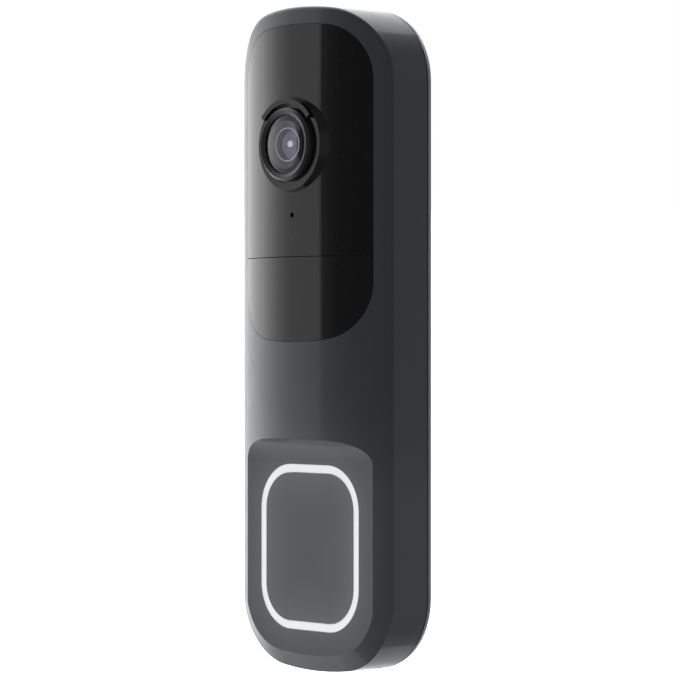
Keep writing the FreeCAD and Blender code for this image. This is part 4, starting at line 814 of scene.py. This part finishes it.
class DOORBELL_OT_power_and_sound(bpy.types.Operator):
    """Battery, speaker, duct and sound mesh"""

    bl_idname = "doorbell.power_and_sound"
    bl_label = "Power and sound"

    def execute(self, context):
        foil = metal("cell_foil", (0.62, 0.63, 0.65), 0.35, depth=8e-6)
        dress("battery_cell", foil)
        dress("battery_foam", plastic("foam", (0.03, 0.03, 0.03), 0.9, grain=1800.0, depth=8e-5))
        dress("battery_lead", plastic("lead_sleeve", (0.25, 0.02, 0.015), 0.4, grain=1500.0))
        dress("battery_connector", plastic("nylon_connector", (0.72, 0.70, 0.62), 0.45))
        dress("speaker", plastic("speaker_frame", (0.03, 0.03, 0.03), 0.45))
        dress("speaker_diaphragm", plastic("diaphragm_film", (0.10, 0.10, 0.11), 0.35, grain=1200.0))
        dress("speaker_gasket", plastic("speaker_gasket_foam", (0.03, 0.03, 0.032), 0.85, grain=2000.0,
                                        depth=5e-5))
        dress("speaker_duct", plastic("duct_plastic", (0.04, 0.04, 0.042), 0.5))
        cloth = plastic("mesh_cloth", (0.02, 0.02, 0.02), 0.7, grain=3500.0, depth=6e-5)
        dress("speaker_mesh", cloth)
        low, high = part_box("speaker_mesh")
        centre = middle("speaker_mesh")
        leg = DUCT_LEG_WIDTH
        places = [(x, centre.y, centre.z) for x in (low.x + leg / 2, high.x - leg / 2)]
        grow("speaker_mesh_woven", "weave", places, cloth, "unit", (0.0, 0.0, 0.0), "speaker_mesh",
             SLOT_OF_NODE["speaker_mesh"], Width=leg, Height=high.y - low.y, Pitch=MESH_PITCH, Wire=MESH_WIRE)
        return {"FINISHED"}


# Screw kinds, in millimetres: head radius and height, shank radius, pitch, which way the head faces
# and the heights of any rows between the lowest and the highest screw.
TERMINAL_SCREW = {"head": 2.4, "height": 1.2, "shank": 1.0, "pitch": 0.5, "to_wall": True, "rows": ()}
CASE_SCREW = {"head": 1.9, "height": 0.8, "shank": 1.0, "pitch": 0.7, "to_wall": True, "rows": (14.5,)}
BOARD_SCREW = {"head": 1.45, "height": 0.9, "shank": 0.8, "pitch": 0.6, "to_wall": False, "rows": ()}
BUTTON_SCREW = {**BOARD_SCREW, "height": 0.8, "to_wall": True}
SLOT_SHARE = 0.6
SLOT_WIDTH = 0.44
SLOT_DEPTH = 0.5


def inset_places(low, high, inset):
    """The two places inset from the ends, or the middle when they fall together."""
    if high - low < 3 * inset:
        return [(low + high) / 2]
    return [low + inset, high - inset]


def grow_screws(node, steel, kind):
    """Dress a screw node and stand threaded screws in its places."""
    dress(node, steel)
    low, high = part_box(node)
    radius, height = kind["head"] * MM, kind["height"] * MM
    seat = high.y - height if kind["to_wall"] else low.y + height
    sides = inset_places(low.x, high.x, radius)
    heights = sorted([*inset_places(low.z, high.z, radius), *(row * MM for row in kind["rows"])])
    grow(node + "_threaded", "screws", [(x, seat, z) for x in sides for z in heights], steel,
         BODY_OF_NODE[node], HEAD_TO_WALL if kind["to_wall"] else HEAD_TO_FRONT, node, SLOT_OF_NODE[node],
         Head_Radius=radius, Head_Height=height, Shank_Radius=kind["shank"] * MM,
         Length=high.y - low.y - height, Pitch=kind["pitch"] * MM, Slot_Reach=radius * SLOT_SHARE,
         Slot_Width=SLOT_WIDTH * MM, Slot_Depth=SLOT_DEPTH * MM)


class DOORBELL_OT_fasteners(bpy.types.Operator):
    """Screws, washers, terminals and the tamper plunger"""

    bl_idname = "doorbell.fasteners"
    bl_label = "Fasteners and terminals"

    def execute(self, context):
        dress("terminal_block", plastic("terminal_plastic", (0.035, 0.035, 0.038), 0.4))
        dress("terminal_contacts", metal("terminal_brass", (0.72, 0.52, 0.22), 0.28))
        for side in ("left", "right"):
            node = "terminal_screw_" + side
            steel = metal(node, (0.56, 0.56, 0.57), 0.3, middle(node))
            grow_screws(node, steel, TERMINAL_SCREW)
            washer = "terminal_washer_" + side
            dress(washer, metal(washer, (0.6, 0.6, 0.6), 0.32, middle(washer)))
        for node, kind in (("case_screws", CASE_SCREW), ("board_screws", BOARD_SCREW),
                           ("button_board_screws", BUTTON_SCREW)):
            grow_screws(node, metal(node + "_steel", (0.54, 0.54, 0.55), 0.3), kind)
        dress("lock_screw", metal("black_oxide", (0.06, 0.06, 0.063), 0.35, middle("lock_screw"),
                                  (math.radians(90), 0.0, 0.0)))
        dress("lock_washer", plastic("nylon_washer", (0.70, 0.70, 0.66), 0.4))
        dress("tamper_plunger", plastic("plunger_acetal", (0.72, 0.72, 0.69), 0.35))
        return {"FINISHED"}


class DOORBELL_OT_stage(bpy.types.Operator):
    """Pale floor, studio light and the camera"""

    bl_idname = "doorbell.stage"
    bl_label = "Stage and camera"

    def execute(self, context):
        settings = context.scene.doorbell_stage
        floor = make_floor(CAD_LOW.z - settings.floor_drop)
        make_world(context.scene, settings.brightness)
        make_camera(context, settings)
        context.scene.view_settings.view_transform = "Standard"
        return {"FINISHED"}


def make_floor(height):
    """A wide disc that curves up at its rim, seen only by the camera and only from above."""
    rings = [(0.0, 0.0), (0.5, 0.0), (1.5, 0.0), (3.0, 0.0), (3.6, 0.05), (4.0, 0.2), (4.3, 0.5)]
    segments = 96
    mesh = bmesh.new()
    rows = []
    for radius, rise in rings:
        if radius == 0.0:
            rows.append([mesh.verts.new((0.0, 0.0, height))])
            continue
        rows.append([mesh.verts.new((radius * math.cos(2 * math.pi * i / segments),
                                     radius * math.sin(2 * math.pi * i / segments), height + rise))
                     for i in range(segments)])
    for inner, outer in zip(rows, rows[1:]):
        for i in range(segments):
            j = (i + 1) % segments
            if len(inner) == 1:
                mesh.faces.new((inner[0], outer[i], outer[j]))
            else:
                mesh.faces.new((inner[i], outer[i], outer[j], inner[j]))
    data = bpy.data.meshes.new("studio_floor")
    mesh.to_mesh(data)
    mesh.free()
    for face in data.polygons:
        face.use_smooth = True
    item = bpy.data.objects.new("studio_floor", data)
    bpy.context.scene.collection.objects.link(item)
    paper = Finish("floor_paper")
    node = paper.use("moulded_grain", Colour=(0.93, 0.93, 0.93), Roughness=0.8, Grain=900.0, Unevenness=0.01,
                     Dust=0.0)
    paper.surface(node, 1e-4, 0.2)
    paper.set(Specular_IOR_Level=0.1, Emission_Color=(1.0, 1.0, 1.0), Emission_Strength=1.0)
    side = paper.tree.nodes.new("ShaderNodeNewGeometry")
    clear = paper.tree.nodes.new("ShaderNodeBsdfTransparent")
    one_sided = paper.tree.nodes.new("ShaderNodeMixShader")
    paper.tree.links.new(side.outputs["Backfacing"], one_sided.inputs["Fac"])
    paper.tree.links.new(paper.shader.outputs[0], one_sided.inputs[1])
    paper.tree.links.new(clear.outputs[0], one_sided.inputs[2])
    output = next(n for n in paper.tree.nodes if n.type == "OUTPUT_MATERIAL")
    paper.tree.links.new(one_sided.outputs[0], output.inputs["Surface"])
    data.materials.append(paper.material)
    for ray in ("glossy", "diffuse", "transmission", "shadow"):
        setattr(item, "visible_" + ray, False)
    return item


# Studio panels: (azimuth from the front towards the right, in degrees, brightness).
PANELS = ((-180, 2.2), (-100, 2.2), (-78, 2.0), (-60, 1.15), (-50, 0.85), (-30, 1.0), (-27.4, 1.0),
          (-25.8, 0.28), (-15, 0.15), (0, 0.12), (30, 0.15), (90, 0.30), (132, 0.32), (160, 0.6),
          (173, 0.6), (176, 2.2), (180, 2.2))
PANEL_MAX = 2.5
# Brightness of the steep directions right of the panels' edge, and of the panel low on the left.
STEEP_GAP = 0.16
LOW_PANEL = 1.1
# The panels' edge: where x less this share of y passes this value, over a narrow blur.
PANEL_EDGE_LEAN = 0.32
PANEL_EDGE = -0.165
EDGE_BLUR = 0.01


def make_world(scene, brightness):
    """White panels to the left and behind, dark in front and grey to the right; plain white to the camera."""
    world = bpy.data.worlds.new("studio")
    world.use_nodes = True
    scene.world = world
    tree = world.node_tree
    tree.nodes.clear()
    coordinates = tree.nodes.new("ShaderNodeTexCoord")
    axes = split(tree, coordinates.outputs["Generated"])
    angle = math_node(tree, "ARCTAN2", axes["X"], times(tree, axes["Y"], -1.0))
    place = remap(tree, angle, -math.pi, math.pi, 0.0, 1.0)
    ramp = tree.nodes.new("ShaderNodeValToRGB")
    tree.links.new(place, ramp.inputs["Fac"])
    elements = ramp.color_ramp.elements
    while len(elements) > 1:
        elements.remove(elements[-1])
    for index, (azimuth, level) in enumerate(PANELS):
        position = (azimuth + 180) / 360
        element = elements[0] if index == 0 else elements.new(position)
        element.position = position
        element.color = (level / PANEL_MAX,) * 3 + (1.0,)
    steepness = math_node(tree, "ABSOLUTE", axes["Z"])
    lean = times(tree, axes["Y"], PANEL_EDGE_LEAN)
    edge = math_node(tree, "SUBTRACT", axes["X"], lean)
    right = remap(tree, edge, PANEL_EDGE - EDGE_BLUR, PANEL_EDGE + EDGE_BLUR, 0.0, 1.0)
    gap = times(tree, remap(tree, steepness, 0.30, 0.55, 0.0, 1.0), right)
    shaded = mix_colour(tree, gap, ramp.outputs["Color"], (STEEP_GAP / PANEL_MAX,) * 3)
    left = math_node(tree, "SUBTRACT", 1.0, right)
    below = times(tree, remap(tree, axes["Z"], -0.55, -0.30, 1.0, 0.0), left)
    lit = mix_colour(tree, below, shaded, (LOW_PANEL / PANEL_MAX,) * 3)
    panels = tree.nodes.new("ShaderNodeBackground")
    tree.links.new(lit, panels.inputs["Color"])
    panels.inputs["Strength"].default_value = PANEL_MAX * brightness
    white = tree.nodes.new("ShaderNodeBackground")
    white.inputs["Color"].default_value = (1.0, 1.0, 1.0, 1.0)
    path = tree.nodes.new("ShaderNodeLightPath")
    choose = tree.nodes.new("ShaderNodeMixShader")
    tree.links.new(path.outputs["Is Camera Ray"], choose.inputs["Fac"])
    tree.links.new(panels.outputs[0], choose.inputs[1])
    tree.links.new(white.outputs[0], choose.inputs[2])
    output = tree.nodes.new("ShaderNodeOutputWorld")
    tree.links.new(choose.outputs[0], output.inputs["Surface"])


def make_camera(context, settings):
    angle = settings.azimuth
    side = Vector((math.cos(angle), math.sin(angle), 0.0))
    back = Vector((math.sin(angle), -math.cos(angle), 0.0))
    aim = Vector((0.0, AIM_DEPTH, 0.0)) + side * AIM_SHIFT
    data = bpy.data.cameras.new("camera")
    data.lens = settings.lens
    data.sensor_width = 36.0
    data.clip_start = 0.01
    data.clip_end = 50.0
    item = bpy.data.objects.new("camera", data)
    context.scene.collection.objects.link(item)
    item.location = aim + back * settings.distance
    item.rotation_mode = "QUATERNION"
    item.rotation_quaternion = (-back).to_track_quat("-Z", "Y")
    context.scene.camera = item


class DOORBELL_PT_sidebar(bpy.types.Panel):
    """Lists the doorbell's operators and settings"""

    bl_idname = "DOORBELL_PT_sidebar"
    bl_label = "Video Doorbell"
    bl_space_type = "VIEW_3D"
    bl_region_type = "UI"
    bl_category = "Doorbell"

    def draw(self, context):
        for name in SETTINGS:
            block = self.layout.box()
            group = getattr(context.scene, name)
            for prop in type(group).__annotations__:
                block.prop(group, prop)
        for operator in OPERATORS:
            self.layout.operator(operator.bl_idname)


SETTINGS = {
    "doorbell_shell": DoorbellShell,
    "doorbell_window": DoorbellWindow,
    "doorbell_lens": DoorbellLens,
    "doorbell_button": DoorbellButton,
    "doorbell_stage": DoorbellStage,
}
OPERATORS = (DOORBELL_OT_housing, DOORBELL_OT_windows, DOORBELL_OT_camera_group, DOORBELL_OT_button_group,
             DOORBELL_OT_electronics, DOORBELL_OT_power_and_sound, DOORBELL_OT_fasteners, DOORBELL_OT_stage)
GROUPS = (moulded_grain, wiped_gloss, worked_metal, band_glow, spot, screw_tree, ring_tree, mesh_tree)
CLASSES = (*SETTINGS.values(), *OPERATORS, DOORBELL_PT_sidebar)


def register():
    for item in CLASSES:
        bpy.utils.register_class(item)
    for name, group in SETTINGS.items():
        setattr(bpy.types.Scene, name, PointerProperty(type=group))


def unregister():
    for name in SETTINGS:
        delattr(bpy.types.Scene, name)
    for item in reversed(CLASSES):
        bpy.utils.unregister_class(item)


def main():
    register()
    for build_group in GROUPS:
        build_group()
    for operator in OPERATORS:
        family, name = operator.bl_idname.split(".")
        getattr(getattr(bpy.ops, family), name)()


if __name__ == "__main__":
    main()
